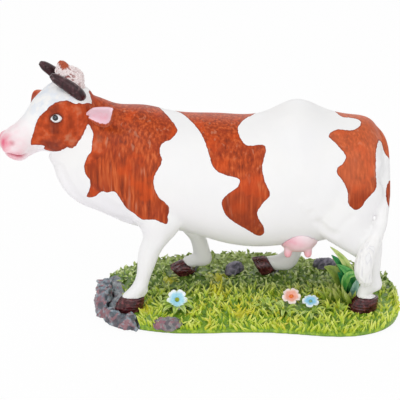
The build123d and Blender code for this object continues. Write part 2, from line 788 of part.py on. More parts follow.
# Tufts of grass that lean up the slope, clear of all that stands on the mound
with BuildPart() as tuft:
    low_across, high_across = [tuft_width * share for share in tuft_tip_across_shares]
    low_along, high_along = [tuft_length * share for share in tuft_tip_along_shares]
    Wedge(
        tuft_width, tuft_height, tuft_length, low_across, low_along, high_across, high_along,
        rotation=(90, 0, 0), align=(Align.CENTER, Align.MIN, Align.CENTER),
    )
with BuildSketch() as turf_bed:
    with BuildLine():
        Spline(on_base(base_outline_shares, 1 - 2 * tuft_margin / base_width), periodic=True)
    make_face()
tuft_reach = Vector(tuft_length, tuft_width).length / 2
tuft_places = []
for row in range(int(base_width / tuft_pitch)):
    tuft_y = (row + 1) * tuft_pitch - base_width / 2
    for column in range(int(base_length / tuft_pitch)):
        tuft_x = base_middle_x - base_length / 2 + (column + row % 2 / 2) * tuft_pitch
        spot = Vector(tuft_x, tuft_y)
        clear = all((spot - middle).length > reach + tuft_reach for middle, reach in bare_spots)
        if clear and turf_bed.face().is_inside(spot):
            sway = radians(tuft_sway * sin(radians(tuft_turn * len(tuft_places))))
            way = ground_plane.x_dir * cos(sway) + ground_plane.y_dir * sin(sway)
            root = Vector(tuft_x, tuft_y, ground_at(tuft_y) - tuft_sink)
            tuft_places.append(Plane(origin=root, x_dir=way, z_dir=ground_plane.z_dir))

# Felt pad, and the mound with its recess and sockets
with BuildPart() as felt_sheet:
    with BuildSketch():
        with BuildLine():
            Spline(on_base(base_outline_shares, 1 - 2 * felt_margin / base_width), periodic=True)
        make_face()
    extrude(amount=felt_thickness)
with BuildPart() as base_casting:
    add(mound.part)
    with Locations(*tuft_places):
        add(tuft.part)
    add(felt_sheet.part, mode=Mode.SUBTRACT)
    add(corner_rock.part, mode=Mode.SUBTRACT)
    for place in pins.values():
        add(rod(place, pin_radius, pin_length), mode=Mode.SUBTRACT)
    for ring in petal_rings:
        add(ring, mode=Mode.SUBTRACT)

pieces = {
    "felt_sheet": felt_sheet.part,
    "base_casting": base_casting.part,
    "corner_rock": corner_rock.part,
    "edge_stone": edge_stone,
    "back_stone_left": back_stone_left,
    "back_stone_right": back_stone_right,
    "body_casting": body_casting.part,
    "head_casting": head_casting.part,
    "left_horn": horns[0],
    "right_horn": horns[1],
    "left_ear": ears[0],
    "right_ear": ears[1],
    "left_eye": eyes[0],
    "right_eye": eyes[1],
    "forelock": forelock,
    "udder": udder.part,
    "tail": tail.part,
    "tail_switch": tail_switch,
    "leaf_plant": leaf_plant,
    "leg_pins": leg_pins.part,
    **{f"{name}_leg": leg for name, leg in legs.items()},
    **{f"{name}_hoof": hoof for name, hoof in hooves.items()},
    **flowers,
}
os.makedirs("parts", exist_ok=True)
for name, piece in pieces.items():
    piece.label = name
    export_step(piece, f"parts/{name}.step")
    print(name, len(piece.solids()), round(piece.volume), piece.is_valid)
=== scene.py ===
import math

import bmesh
import bpy
import numpy as np
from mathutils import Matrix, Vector, noise


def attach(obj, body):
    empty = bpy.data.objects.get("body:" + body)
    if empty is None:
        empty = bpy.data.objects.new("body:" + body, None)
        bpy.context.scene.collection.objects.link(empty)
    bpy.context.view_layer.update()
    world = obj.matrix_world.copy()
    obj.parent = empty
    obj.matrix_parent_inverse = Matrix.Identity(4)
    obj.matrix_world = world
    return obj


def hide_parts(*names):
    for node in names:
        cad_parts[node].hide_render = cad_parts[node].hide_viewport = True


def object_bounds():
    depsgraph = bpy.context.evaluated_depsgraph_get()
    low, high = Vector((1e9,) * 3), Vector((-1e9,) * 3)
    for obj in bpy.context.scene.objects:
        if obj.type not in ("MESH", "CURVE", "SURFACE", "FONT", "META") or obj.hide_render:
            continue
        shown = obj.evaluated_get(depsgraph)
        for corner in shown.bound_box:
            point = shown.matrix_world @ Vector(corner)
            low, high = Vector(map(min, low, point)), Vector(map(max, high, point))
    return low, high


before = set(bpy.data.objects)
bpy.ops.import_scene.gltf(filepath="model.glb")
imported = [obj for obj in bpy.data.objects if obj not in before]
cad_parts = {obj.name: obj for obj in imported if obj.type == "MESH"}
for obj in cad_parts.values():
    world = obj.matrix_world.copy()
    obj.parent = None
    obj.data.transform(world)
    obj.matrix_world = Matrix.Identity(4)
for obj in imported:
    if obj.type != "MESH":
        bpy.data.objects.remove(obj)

mm = 0.001
cadBounds = [list(corner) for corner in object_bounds()]
cadLow, cadHigh = np.array(cadBounds) / mm


# Making, selecting and copying pieces

def deselectAll():
    if bpy.context.object and bpy.context.object.mode != "OBJECT":
        bpy.ops.object.mode_set(mode="OBJECT")
    bpy.ops.object.select_all(action="DESELECT")


def pick(*pieces):
    deselectAll()
    for piece in pieces:
        piece.select_set(True)
    bpy.context.view_layer.objects.active = pieces[0]


def editAll(operator, **settings):
    # Runs one operator on the whole of the active mesh
    bpy.ops.object.mode_set(mode="EDIT")
    bpy.ops.mesh.select_all(action="SELECT")
    operator(**settings)
    bpy.ops.object.mode_set(mode="OBJECT")


def linked(name, data):
    piece = bpy.data.objects.new(name, data)
    bpy.context.collection.objects.link(piece)
    return piece


def madeBy(operator, name, **settings):
    deselectAll()
    operator(**settings)
    piece = bpy.context.object
    piece.name = name
    bpy.ops.object.transform_apply(location=True, rotation=True, scale=True)
    return piece


def castingCopy(name, nodes):
    copies = [linked(name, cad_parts[node].data.copy()) for node in nodes]
    pick(*copies)
    if len(copies) > 1:
        bpy.ops.object.join()
    piece = bpy.context.object
    piece.name = name
    piece.data.materials.clear()
    editAll(bpy.ops.mesh.remove_doubles, threshold=0.004 * mm)
    editAll(bpy.ops.mesh.customdata_custom_splitnormals_clear)
    return piece


def finishWith(piece, kind, **settings):
    pick(piece)
    modifier = piece.modifiers.new(kind.title(), kind)
    for setting, value in settings.items():
        setattr(modifier, setting, value)
    bpy.ops.object.modifier_apply(modifier=modifier.name)


def evenCopy(name, nodes, voxel, rounds=0):
    # The castings as one skin of even faces, smoothed for some rounds
    piece = castingCopy(name, nodes)
    finishWith(piece, "REMESH", mode="VOXEL", voxel_size=voxel * mm, use_smooth_shade=True)
    if rounds:
        finishWith(piece, "SMOOTH", factor=0.5, iterations=rounds)
    return piece


def vertexRows(piece, kind):
    rows = np.empty(len(piece.data.vertices) * 3)
    piece.data.vertices.foreach_get(kind, rows)
    return rows.reshape(-1, 3)


def pointsOf(piece):
    return vertexRows(piece, "co") / mm


def normalsOf(piece):
    return vertexRows(piece, "normal")


def movePoints(piece, points):
    piece.data.vertices.foreach_set("co", (points * mm).ravel())
    piece.data.update()


def keepValues(piece, **values):
    # Numbers that the paint reads back, one for each point
    for name, numbers in values.items():
        attribute = piece.data.attributes.new(name, "FLOAT", "POINT")
        attribute.data.foreach_set("value", numbers.astype(np.float32))


def finished(piece, paint, nodes=(), angle=180):
    # Smooth up to the angle, painted, riding on the one body
    pick(piece)
    bpy.ops.object.shade_smooth_by_angle(angle=math.radians(angle))
    paint.on(piece)
    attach(piece, "root")
    if nodes:
        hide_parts(*nodes)


# Shaping by hand

def lumps(points, size, seed=0):
    # Soft noise read at many points at once
    shift = Vector((seed * 17.3, seed * 5.1, seed * 9.7))
    return np.array([noise.noise(Vector(point) / size + shift) for point in points])


def ramped(values, start, width):
    # 0 at the start and 1 a width further on
    return np.clip((values - start) / width, 0, 1)


def bell(away, width):
    return np.clip(1 - (away / width) ** 2, 0, 1) ** 2


def unit(ways):
    return ways / np.maximum(np.linalg.norm(ways, axis=-1, keepdims=True), 1e-9)


def spread(root, *parts):
    # The root plus, for each part, many amounts along one way
    points = np.array(root, float)
    for amounts, way in parts:
        points = points + np.outer(amounts, way)
    return points


def raised(points, normals, height):
    return points + normals * height[:, None]


def distanceToLine(points, line):
    # From each point to the nearest stretch of a line of knots
    nearest = np.full(len(points), 1e9)
    for start, end in zip(line[:-1], line[1:]):
        way = end - start
        share = np.clip(((points - start) @ way) / max(way @ way, 1e-9), 0, 1)
        nearest = np.minimum(nearest, np.linalg.norm(points - start - share[:, None] * way, axis=1))
    return nearest


def pressed(points, normals, line, width, height):
    # A ridge along a line, or a groove where the height is less than zero
    return raised(points, normals, height * bell(distanceToLine(points, np.array(line, float)), width))


def pulled(points, centre, radius, way):
    # What a soft brush does: points near the centre follow it
    away = np.linalg.norm(points - np.array(centre, float), axis=1)
    return points + np.outer(bell(away, radius), way)


def flatLeaf(name, across, along):
    # A flat strip one long and one wide, with its root at zero
    return madeBy(
        bpy.ops.mesh.primitive_grid_add, name, x_subdivisions=across, y_subdivisions=along, size=1,
        location=(0, 0.5, 0),
    )


def patternOf(model):
    points, faces = vertexRows(model, "co"), [list(face.vertices) for face in model.data.polygons]
    bpy.data.objects.remove(model)
    return points, faces


def leafPattern(across, along=5):
    model = flatLeaf("leafModel", across, along)
    finishWith(model, "SOLIDIFY", thickness=0.09, offset=0)
    return patternOf(model)


def copiesOf(name, faces, placed):
    # One piece with a copy of the pattern's faces for each of the placed point lists
    placed = np.array(placed)
    count = placed.shape[1]
    allFaces = [[corner + step * count for corner in face] for step in range(len(placed)) for face in faces]
    mesh = bpy.data.meshes.new(name)
    mesh.from_pydata((placed.reshape(-1, 3) * mm).tolist(), [], allFaces)
    piece = linked(name, mesh)
    pick(piece)
    editAll(bpy.ops.mesh.normals_make_consistent, inside=False)
    return piece


# Paint: a material, or the world, with its own nodes

class Wire:
    # What comes out of a node
    def __init__(self, nodes, socket):
        self.nodes = nodes
        self.socket = socket

    def apply(self, operation, other):
        return self.nodes.add("Math", {"operation": operation}, {0: self, 1: other})

    def __add__(self, other):
        return self.apply("ADD", other)

    def __sub__(self, other):
        return self.apply("SUBTRACT", other)

    def __mul__(self, other):
        return self.apply("MULTIPLY", other)

    __radd__ = __add__
    __rmul__ = __mul__


def shade(red, green, blue):
    # An 8-bit paint colour as Blender's own linear one
    parts = [value / 255 for value in (red, green, blue)]
    return (*[part / 12.92 if part <= 0.04045 else ((part + 0.055) / 1.055) ** 2.4 for part in parts], 1)


class Nodes:
    def __init__(self, tree):
        self.tree = tree

    def add(self, kind, settings, sockets, out=0):
        node = self.tree.nodes.new("ShaderNode" + kind)
        for setting, value in settings.items():
            setattr(node, setting, value)
        for name, value in sockets.items():
            if isinstance(value, Wire):
                self.tree.links.new(value.socket, node.inputs[name])
            else:
                node.inputs[name].default_value = value
        return Wire(self, node.outputs[out])

    def seen(self):
        # 1 for what the camera sees, itself or in a mirror or a clear piece, and 0 for what lights the pieces
        rays = [self.add("LightPath", {}, {}, "Is " + kind + " Ray") for kind in ("Camera", "Glossy", "Transmission")]
        return rays[0].apply("MAXIMUM", rays[1]).apply("MAXIMUM", rays[2])


class Paint(Nodes):
    # Colours go in as wires or as red, green and blue up to 255
    def __init__(self, name, roughness=0.4, coat=0.0, shine=0.3):
        self.material = bpy.data.materials.new(name)
        self.material.use_nodes = True
        super().__init__(self.material.node_tree)
        self.surface = self.tree.nodes["Principled BSDF"]
        constants = {
            "Roughness": roughness, "Coat Weight": coat, "Coat Roughness": 0.12, "Specular IOR Level": shine,
        }
        for name, value in constants.items():
            self.surface.inputs[name].default_value = value
        self.place = self.add("TexCoord", {}, {}, "Object")

    def speckle(self, scale, detail=2, stretch=(1, 1, 1)):
        # Noise over the piece: scale is in blotches per millimetre
        spot = self.add("Mapping", {}, {"Vector": self.place, "Scale": stretch}, "Vector")
        return self.add("TexNoise", {}, {"Vector": spot, "Scale": scale / mm, "Detail": detail}, "Fac")

    def value(self, name):
        return self.add("Attribute", {"attribute_name": name}, {}, "Fac")

    def step(self, value, low, high):
        return self.add(
            "MapRange", {"interpolation_type": "SMOOTHSTEP"}, {"Value": value, "From Min": low, "From Max": high},
        )

    def mix(self, amount, first, second):
        first, second = [shade(*colour) if isinstance(colour, tuple) else colour for colour in (first, second)]
        return self.add("Mix", {"data_type": "RGBA"}, {0: amount, 6: first, 7: second}, 2)

    def over(self, colour, *layers):
        for amount, layer in layers:
            colour = self.mix(amount, colour, layer)
        return colour

    def ramp(self, value, *stops):
        # Each stop is its place and then its colour
        wire = self.add("ValToRGB", {}, {"Fac": value}, "Color")
        elements = wire.socket.node.color_ramp.elements
        while len(elements) < len(stops):
            elements.new(0.5)
        for element, (position, *colour) in zip(elements, stops):
            element.position = position
            element.color = shade(*colour)
        return wire

    def colour(self, wire):
        self.tree.links.new(wire.socket, self.surface.inputs["Base Color"])

    def relief(self, height, depth):
        # Raises the paint by height times depth, in millimetres
        bump = self.add("Bump", {}, {"Height": height, "Distance": depth * mm}, "Normal")
        self.tree.links.new(bump.socket, self.surface.inputs["Normal"])

    def on(self, *pieces):
        for piece in pieces:
            piece.data.materials.clear()
            piece.data.materials.append(self.material)


# Studio: floor, soft lamps and the camera

studio = {
    "floorSize": 8.0,
    "floorGlow": 0.94,         # share of plain white that the camera sees in the floor
    "daylight": 0.6,
    # Place, power and size of each lamp
    "lamps": [
        ((-0.75, -0.95, 1.25), 7.6, 0.9), ((0.95, -0.75, 0.75), 2.3, 0.9), ((0.1, 1.1, 1.1), 3.0, 1.0),
        ((-0.1, -1.3, 0.12), 2.0, 0.7),
    ],
    "lampTarget": (0, 0, 0.09),
    "cameraPlace": (0, -0.9867, 0.4474),
    "cameraTurn": (math.radians(70), 0, 0),
    "lens": 125.4,
    "sensor": 36,
    "clipStart": 0.05,
}


def buildStudio():
    bpy.context.scene.view_settings.view_transform = "Standard"
    floor = madeBy(bpy.ops.mesh.primitive_plane_add, "studioFloor", size=studio["floorSize"], location=(0, 0, 0))
    paint = Paint("floorPaint", 0.9, 0.0, 0)
    paint.surface.inputs["Base Color"].default_value = (1, 1, 1, 1)
    glow = paint.add("Emission", {}, {"Color": (1, 1, 1, 1), "Strength": 1.0}, "Emission")
    lit = Wire(paint, paint.surface.outputs["BSDF"])
    shown = paint.add("MixShader", {}, {0: paint.seen() * studio["floorGlow"], 1: lit, 2: glow}, "Shader")
    paint.tree.links.new(shown.socket, paint.tree.nodes["Material Output"].inputs["Surface"])
    paint.on(floor)

    world = bpy.data.worlds.new("studioLight")
    bpy.context.scene.world = world
    world.use_nodes = True
    world.node_tree.nodes.clear()
    sky = Nodes(world.node_tree)
    lit, plain = [
        sky.add("Background", {}, {"Color": (1, 1, 1, 1), "Strength": strength})
        for strength in (studio["daylight"], 1)
    ]
    blend = sky.add("MixShader", {}, {0: sky.seen(), 1: lit, 2: plain})
    output = sky.tree.nodes.new("ShaderNodeOutputWorld")
    sky.tree.links.new(blend.socket, output.inputs["Surface"])

    for spot, power, size in studio["lamps"]:
        bpy.ops.object.light_add(type="AREA", location=spot)
        lamp = bpy.context.object
        lamp.data.energy = power
        lamp.data.size = size
        lamp.rotation_euler = (Vector(studio["lampTarget"]) - Vector(spot)).to_track_quat("-Z", "Y").to_euler()

    bpy.ops.object.camera_add(location=studio["cameraPlace"], rotation=studio["cameraTurn"])
    camera = bpy.context.object
    camera.data.lens = studio["lens"]
    camera.data.sensor_width = studio["sensor"]
    camera.data.clip_start = studio["clipStart"]
    bpy.context.scene.camera = camera


buildStudio()
print("studio ready")

# The head's own directions: out to the near side, up from the brow, ahead to the nose

headOrigin = np.array((-88.987, -5.0, 163.694))
headWays = np.array(((0.35837, -0.93358, 0), (-0.33457, -0.12843, 0.93358), (-0.87157, -0.33457, -0.35837)))


def inHead(points):
    return (np.asarray(points, float) - headOrigin) @ headWays.T


def fromHead(places):
    return headOrigin + np.asarray(places, float) @ headWays


# Eyes: middle of the near one, its long way from back to front and its way up, in the head's directions

eyes = {
    "middle": (15.8, 4.8, 21.1),
    "long": (-0.133, 0.421, 0.897),
    "up": (-0.117, 0.900, -0.417),
    "half": (4.4, 3.15),
    "thickness": 2.5,
    "pupil": 2.1,
    "pupilShift": (0.75, 0.6),
    "glintShift": (0.65, 1.1),     # like the pupil's, from the eye's middle
}


def eyeFrame(side):
    turn = np.array((side, 1, 1))
    along, upward = np.array(eyes["long"]) * turn, np.array(eyes["up"]) * turn
    outward = np.cross(upward, along) * side
    return np.array(eyes["middle"]) * turn, along, upward, outward / np.linalg.norm(outward)


def inEye(places):
    # Places in the near eye's own plane, with 1 at its corners
    middle, along, upward, _ = eyeFrame(1)
    return (places - middle) @ np.stack((along, upward), 1) / np.array(eyes["half"])


# Outlines of the paint, drawn on an unrolled surface

def rounded(outline, steps=5):
    corners = np.array(outline, float)
    before, after, later = np.roll(corners, 1, 0), np.roll(corners, -1, 0), np.roll(corners, -2, 0)
    rings = []
    for t in np.arange(steps) / steps:
        rings.append(0.5 * (
            2 * corners + (after - before) * t + (2 * before - 5 * corners + 4 * after - later) * t * t
            + (3 * corners - before - 3 * after + later) * t * t * t
        ))
    return np.stack(rings, 1).reshape(-1, 2)


def insideBy(spots, outline):
    # How far each spot lies inside the outline, in millimetres, and less than zero outside it
    ring = rounded(outline)
    inside = np.zeros(len(spots), bool)
    for start, end in zip(ring, np.roll(ring, -1, 0)):
        way = end - start
        rise = way[1] if abs(way[1]) > 1e-9 else 1e-9
        crosses = (start[1] > spots[:, 1]) != (end[1] > spots[:, 1])
        inside ^= crosses & (spots[:, 0] < start[0] + way[0] * (spots[:, 1] - start[1]) / rise)
    nearest = distanceToLine(spots, np.vstack((ring, ring[:1])))
    return np.where(inside, nearest, -nearest)


hide = {
    "nodes": [
        "body_casting", "head_casting", "front_left_leg", "front_right_leg", "rear_left_leg", "rear_right_leg",
        "tail",
    ],
    "underneath": ["left_eye", "right_eye", "tail_switch"],
    "voxel": 1.3,
    "mouth": [
        (0, -5.5, 66), (4, -5.8, 65), (7.5, -6.6, 63.2), (9.5, -8.4, 60.6), (9.9, -10.9, 57.6), (9.7, -12.3, 54.1),
        (8.8, -13.1, 47.6), (7.6, -13.8, 42.0),
    ],
    "nostril": (11.4, 0.9, 56.5),
    "cheek": [(15, -2, 24), (13.5, -5, 32), (11.5, -8, 40)],
    # Pulls on the skin: middle, reach and way, on the legs and then on both sides of the head
    "legPulls": [
        ((-40, -23, 22), 6, (2.4, 0, -0.8)),       # dewclaw
        ((128.5, -23, 28), 10, (5, 0, 0)),         # rear fetlock
    ],
    "brow": ((12.5, 11, 22.5), 10.5),
    "browWays": {1: (2.2, 1.0, 0), -1: (-2, 7.2, 0.5)},
    "headPulls": [
        ((14, 4, 12), 12, (-1.2, 0, 0)),           # temple
        ((12, -8, 22), 12, (1.6, -0.8, 0)),        # jaw
        ((9.5, 1.5, 57), 6, (1.3, 0.8, 0.6)),      # wing of the nose
        ((5, 9.5, 52), 5, (0.3, 1.1, 0)),          # bump on the nose
        ((7, -2.5, 62), 6, (0.8, -0.6, 0.9)),      # upper lip
        ((5, -13.5, 55), 7, (0.7, -1.2, -0.4)),    # lower lip
    ],
    # Lids: first and last turn, lift and height
    "lids": [(-1.15, 1.15, 1.24, 0.9), (-1.0, 1.0, -1.22, 0.55)],
    # Folds of the skin on both flanks: a line seen from the side, its width and its height
    "folds": [
        ([(-103, 121), (-98, 108), (-92.4, 98.8), (-85, 90.5), (-77.7, 84.5), (-66, 79.5), (-55, 78)], 5, -1.0),
        ([(-104, 112), (-97, 98), (-88, 87), (-76, 78), (-60, 72)], 5, 0.9),
        ([(-84, 118), (-80, 106), (-72, 96), (-60, 90)], 6, -0.6),
        ([(-36.4, 90.5), (-43.4, 74.9), (-47, 64)], 6, -1.0),
        ([(-24, 84), (-20, 74), (-22, 66)], 6, -0.8),
        ([(81, 91), (86, 83), (92, 77), (99, 73)], 5, -1.0),
        ([(76, 100), (80, 92), (84, 88)], 6, 0.8),
        ([(112, 88), (106, 84), (102, 76)], 5, -0.7),
        ([(60, 152), (62, 140), (64, 130)], 12, -1.3),
        ([(104, 132), (98, 118), (97, 104)], 12, 1.0),
    ],
    # Brown marks on the tail: middle and half size
    "tailMarks": [((141, -6, 137), (8, 9, 15)), ((140.5, -19, 99), (4.4, 9, 11))],
    "axisHeight": 105,         # the trunk is unrolled about a line at this height
    "unrollRadius": 48,
    "headRadius": 16,
    # Each outline: place along the cow and turn round the trunk, 0 on the back and 90 on the near side
    "brown": {
        "shoulder": [
            (-81.1, 8), (-78.0, -6), (-72, -24), (-68, -36), (-68, -50), (-64, -64), (-56, -80), (-46, -84),
            (-38, -70), (-30, -66), (-24, -50), (-27, -30), (-30, -14), (-29.7, -2.7), (-22.6, 11.1),
            (-17.2, 21.0), (-16.8, 25.9), (-21.0, 32.6), (-25.8, 35.3), (-28.3, 38.7), (-29.1, 44.5),
            (-27.4, 51.1), (-29.1, 57.9), (-32.6, 66.2), (-33.6, 78.3), (-29.9, 93.4), (-24.9, 101.0),
            (-22.5, 108.4), (-23.4, 117.5), (-23.8, 124.4), (-30.1, 120.6), (-33.8, 119.1), (-38.5, 119.9),
            (-42.7, 120.3), (-48.6, 115.5), (-54.6, 112.9), (-57.9, 102.6), (-62.3, 90.0), (-68.1, 93.0),
            (-72.2, 92.2), (-77.6, 106.2), (-83.7, 110.9), (-81.3, 89.4), (-80.6, 74.1), (-83.7, 63.8),
            (-84.5, 53.3), (-82.4, 43.9), (-79.1, 38.7), (-78.5, 32.9), (-77.6, 26.2), (-80, 22), (-84, 17),
        ],
        "saddle": [
            (-14.9, -1.5), (-9.5, 8.2), (-3.6, 18.3), (1.4, 28.2), (4.9, 39.8), (9.0, 57.3), (14.0, 64.3),
            (20.6, 67.7), (28.0, 70.8), (27.3, 78.8), (20.1, 86.8), (15.9, 94.4), (16.4, 102.7), (20.3, 113.5),
            (27.8, 121.6), (35.5, 128.9), (43.2, 136.5), (47.0, 132.7), (46.3, 123.7), (42.8, 114.4),
            (41.8, 106.3), (45.8, 96.7), (50.6, 88.1), (48.1, 77.9), (46.7, 72.6), (44.7, 59.6), (46.3, 49.8),
            (47.5, 42.3), (45.1, 37.5), (35.2, 38.1), (30.2, 32.9), (27.5, 22.1), (29.7, 13.5), (35.0, 4.2),
            (38.3, 0.5), (42, -12), (40, -26), (30, -34), (26, -50), (12, -62), (0, -56), (-6, -40), (-14, -34),
            (-20, -20), (-19, -8),
        ],
        "rump": [
            (103.1, 5.7), (110.8, 6.0), (117.2, 9.1), (116.3, 16.6), (109.9, 21.4), (99.5, 22.4), (93.0, 29.5),
            (97.5, 34.8), (104.9, 45.7), (103.2, 53.9), (99.0, 58.8), (99.0, 64.9), (102.6, 71.5), (106.9, 85.0),
            (107.7, 99.2), (110.4, 104.7), (113.8, 107.7), (118.0, 104.4), (120.4, 97.7), (124.4, 91.3),
            (128.5, 81.7), (127.9, 59.0), (128.4, 35.6), (132, 19.1), (140, 8), (140, -40), (126, -60),
            (118, -52), (114, -30), (106, -20), (100, -6),
        ],
        "farFlank": [
            (58, -70), (70, -62), (86, -66), (98, -84), (100, -104), (88, -112), (76, -108), (66, -96), (58, -88),
        ],
    },
    "pollWhite": [(-84.5, 12.0), (-81.3, 7.0), (-78.2, 13.0), (-81.5, 16.4), (-86.4, 17.4)],
    # The same on the head: place ahead of the poll and turn round it, alike on both sides
    "face": [
        (44.8, 104.8), (37.8, 61.5), (32.2, 43.0), (26.3, 40.3), (20.4, 38.0), (15.1, 37.6), (8.9, 42.2),
        (6.0, 47.8), (4.0, 54.4), (1.2, 55.6), (-0.9, 60), (-6, 66), (-8, 84), (-5, 100), (1.4, 113.8),
        (6.8, 125.0), (11.0, 131.7), (18.2, 141.7), (22.1, 142.8), (27.0, 150.0), (33.6, 160.7),
        (37.0, 149.8), (36.4, 136.2), (42, 118),
    ],
}


def brownOf(points, onHead):
    # How far each point lies inside the brown patches, in millimetres
    def patch(outline, ahead, turn, radius):
        reach = math.radians(1) * radius
        spots = np.stack((ahead, turn * reach), 1)
        return insideBy(spots, [(along, angle * reach) for along, angle in outline])

    x, y, z = points.T
    turn = np.degrees(np.arctan2(-y, z - hide["axisHeight"]))
    onTrunk = x, turn, hide["unrollRadius"]
    brown = np.maximum.reduce([patch(outline, *onTrunk) for outline in hide["brown"].values()])
    brown = np.minimum(brown, -patch(hide["pollWhite"], *onTrunk))
    out, up, ahead = inHead(points).T
    farBrow = np.where(out < 0, 24 * np.clip(1 - ((ahead - 24) / 11) ** 2, 0, 1), 0)
    headTurn = np.degrees(np.arctan2(abs(out), up + 3)) + farBrow
    face = patch(hide["face"], ahead, headTurn, hide["headRadius"])
    brown = np.where(onHead, np.maximum(brown, face), brown)
    for middle, half in hide["tailMarks"]:
        mark = (1 - np.linalg.norm((points - middle) / half, axis=1)) * half[0]
        brown = np.maximum(brown, np.where(x > 130, mark, -9))
    return np.clip(brown, -8, 8)


def paintHide(piece):
    points = pointsOf(piece)
    x, z = points[:, 0], points[:, 2]
    out, up, ahead = inHead(points).T
    onHead = (ahead > -9) & (np.hypot(out, up) < 42)

    # Pink of the muzzle, the nose, the nostrils and the mouth line
    paired = np.stack((abs(out), up, ahead), 1)
    nose = np.clip(1.25 - np.linalg.norm((paired - (6.0, 2.5, 61)) / (7, 6, 6), axis=1), 0, 1)
    lips = np.clip(1.2 - np.linalg.norm((paired - (8, -8.5, 58)) / (7, 5, 7), axis=1), 0, 1)
    lipLine = np.clip(1.25 - mouthDistance(paired, 1) / 1.1, 0, 1) * ramped(ahead, 49, 7)
    pit = np.linalg.norm(paired - np.array(hide["nostril"]), axis=1)
    keepValues(
        piece,
        brown=brownOf(points, onHead),
        sunlit=ramped(x, 88, 10) * ramped(z, 100, 18),
        shaded=ramped(x, -18, 6) * ramped(z, 112, -22),
        # Painted light: the downward faces get a paler, cooler white
        under=np.clip(-normalsOf(piece)[:, 2], 0, 1),
        muzzle=ramped(ahead, 38, 22) * onHead,
        nose=np.maximum(nose, lips * 0.75) * onHead,
        crease=np.maximum(lipLine, np.clip(1.3 - pit / 2.2, 0, 1) * 0.55) * onHead,
        # Painted shade: cool grey over the top of the forehead
        blaze=ramped(ahead, -2, 8) * ramped(ahead, 46, -20) * ramped(up, 4, 8) * onHead,
        onFace=ramped(ahead, -4, 8) * onHead,
        lid=np.clip(1.42 - np.hypot(*inEye(paired).T), 0, 0.4) * 2.5 * onHead,
    )


def mouthDistance(places, side):
    # The mouth runs along this line seen from the side, and round the front of the jaw
    line = [(0, up, ahead) for _, up, ahead in hide["mouth"]]
    away = distanceToLine(places * (0, 1, 1), np.array(line, float))
    return np.where(places[:, 0] * side > np.interp(places[:, 2], (54, 60), (4.5, -1)), away, 99)


def refineHead(piece):
    # Finer faces on the head
    places = inHead(pointsOf(piece))
    editAll(bpy.ops.mesh.select_all, action="DESELECT")
    onHead = (places[:, 2] > 2) & (np.hypot(places[:, 0], places[:, 1]) < 40)
    piece.data.vertices.foreach_set("select", onHead)
    mesh = bmesh.new()
    mesh.from_mesh(piece.data)
    mesh.select_mode = {"VERT"}
    mesh.select_flush_mode()
    mesh.to_mesh(piece.data)
    mesh.free()
    bpy.ops.object.mode_set(mode="EDIT")
    bpy.ops.mesh.subdivide(number_cuts=1)
    bpy.ops.mesh.vertices_smooth(factor=0.5, repeat=3)
    bpy.ops.object.mode_set(mode="OBJECT")


def sculptEye(places, normals, side):
    # An almond-shaped hollow for the eye, with a lid above and below
    middle, along, upward, outward = eyeFrame(side)
    spot = (places - middle) @ np.stack((along, upward), 1) / np.array(eyes["half"])
    away, depth = spot[:, 0] ** 2 + abs(spot[:, 1]), (places - middle) @ outward
    floor = eyes["thickness"] * np.sqrt(np.clip(1 - (spot ** 2).sum(1), 0, 1)) - 0.6
    sunk = np.clip(depth - floor, 0, None) * ramped(away, 1.12, -0.12) * (depth < 8) * (depth > -4)
    places = places - np.outer(sunk, outward)
    for first, last, lift, height in hide["lids"]:
        lid = [
            middle + along * eyes["half"][0] * 1.12 * turn / 1.15
            + upward * eyes["half"][1] * lift * (1 - 0.72 * (turn / 1.2) ** 2)
            for turn in np.linspace(first, last, 9)
        ]
        places = pressed(places, normals, lid, 1.3, height)
    return places


def sculptHide(piece):
    # The folds, then the brows, the nose, the mouth and the eyes on either side of the head
    points, normals = pointsOf(piece), normalsOf(piece)
    facing = np.clip(abs(normals[:, 1]) * 2 - 0.3, 0, 1)
    for line, width, height in hide["folds"]:
        knots = np.array([(along, 0, up) for along, up in line], float)
        points = raised(points, normals, height * bell(distanceToLine(points * (1, 0, 1), knots), width) * facing)
    for pull in hide["legPulls"]:
        points = pulled(points, *pull)
    places, normals = inHead(points), normals @ headWays.T
    for side, browWay in hide["browWays"].items():
        turn = np.array((side, 1, 1))
        centre, reach = hide["brow"]
        places = pulled(places, turn * centre, reach, browWay)
        for centre, reach, way in hide["headPulls"]:
            places = pulled(places, turn * centre, reach, turn * way)
        atMouth = bell(mouthDistance(places, side), 2.2)
        places = raised(places, normals, -atMouth * np.interp(places[:, 2], (46, 60), (0.2, 2.4)))
        pit = turn * (np.array(hide["nostril"]) + [(0, -0.8, -0.6), (0, 0.8, 1.4)])
        places = pressed(places, normals, pit, 1.9, -1.6)
        places = pressed(places, normals, turn * hide["cheek"], 4.5, 0.7)
        places = sculptEye(places, normals, side)
    movePoints(piece, np.clip(fromHead(places), cadLow + 0.05, cadHigh - 0.05))


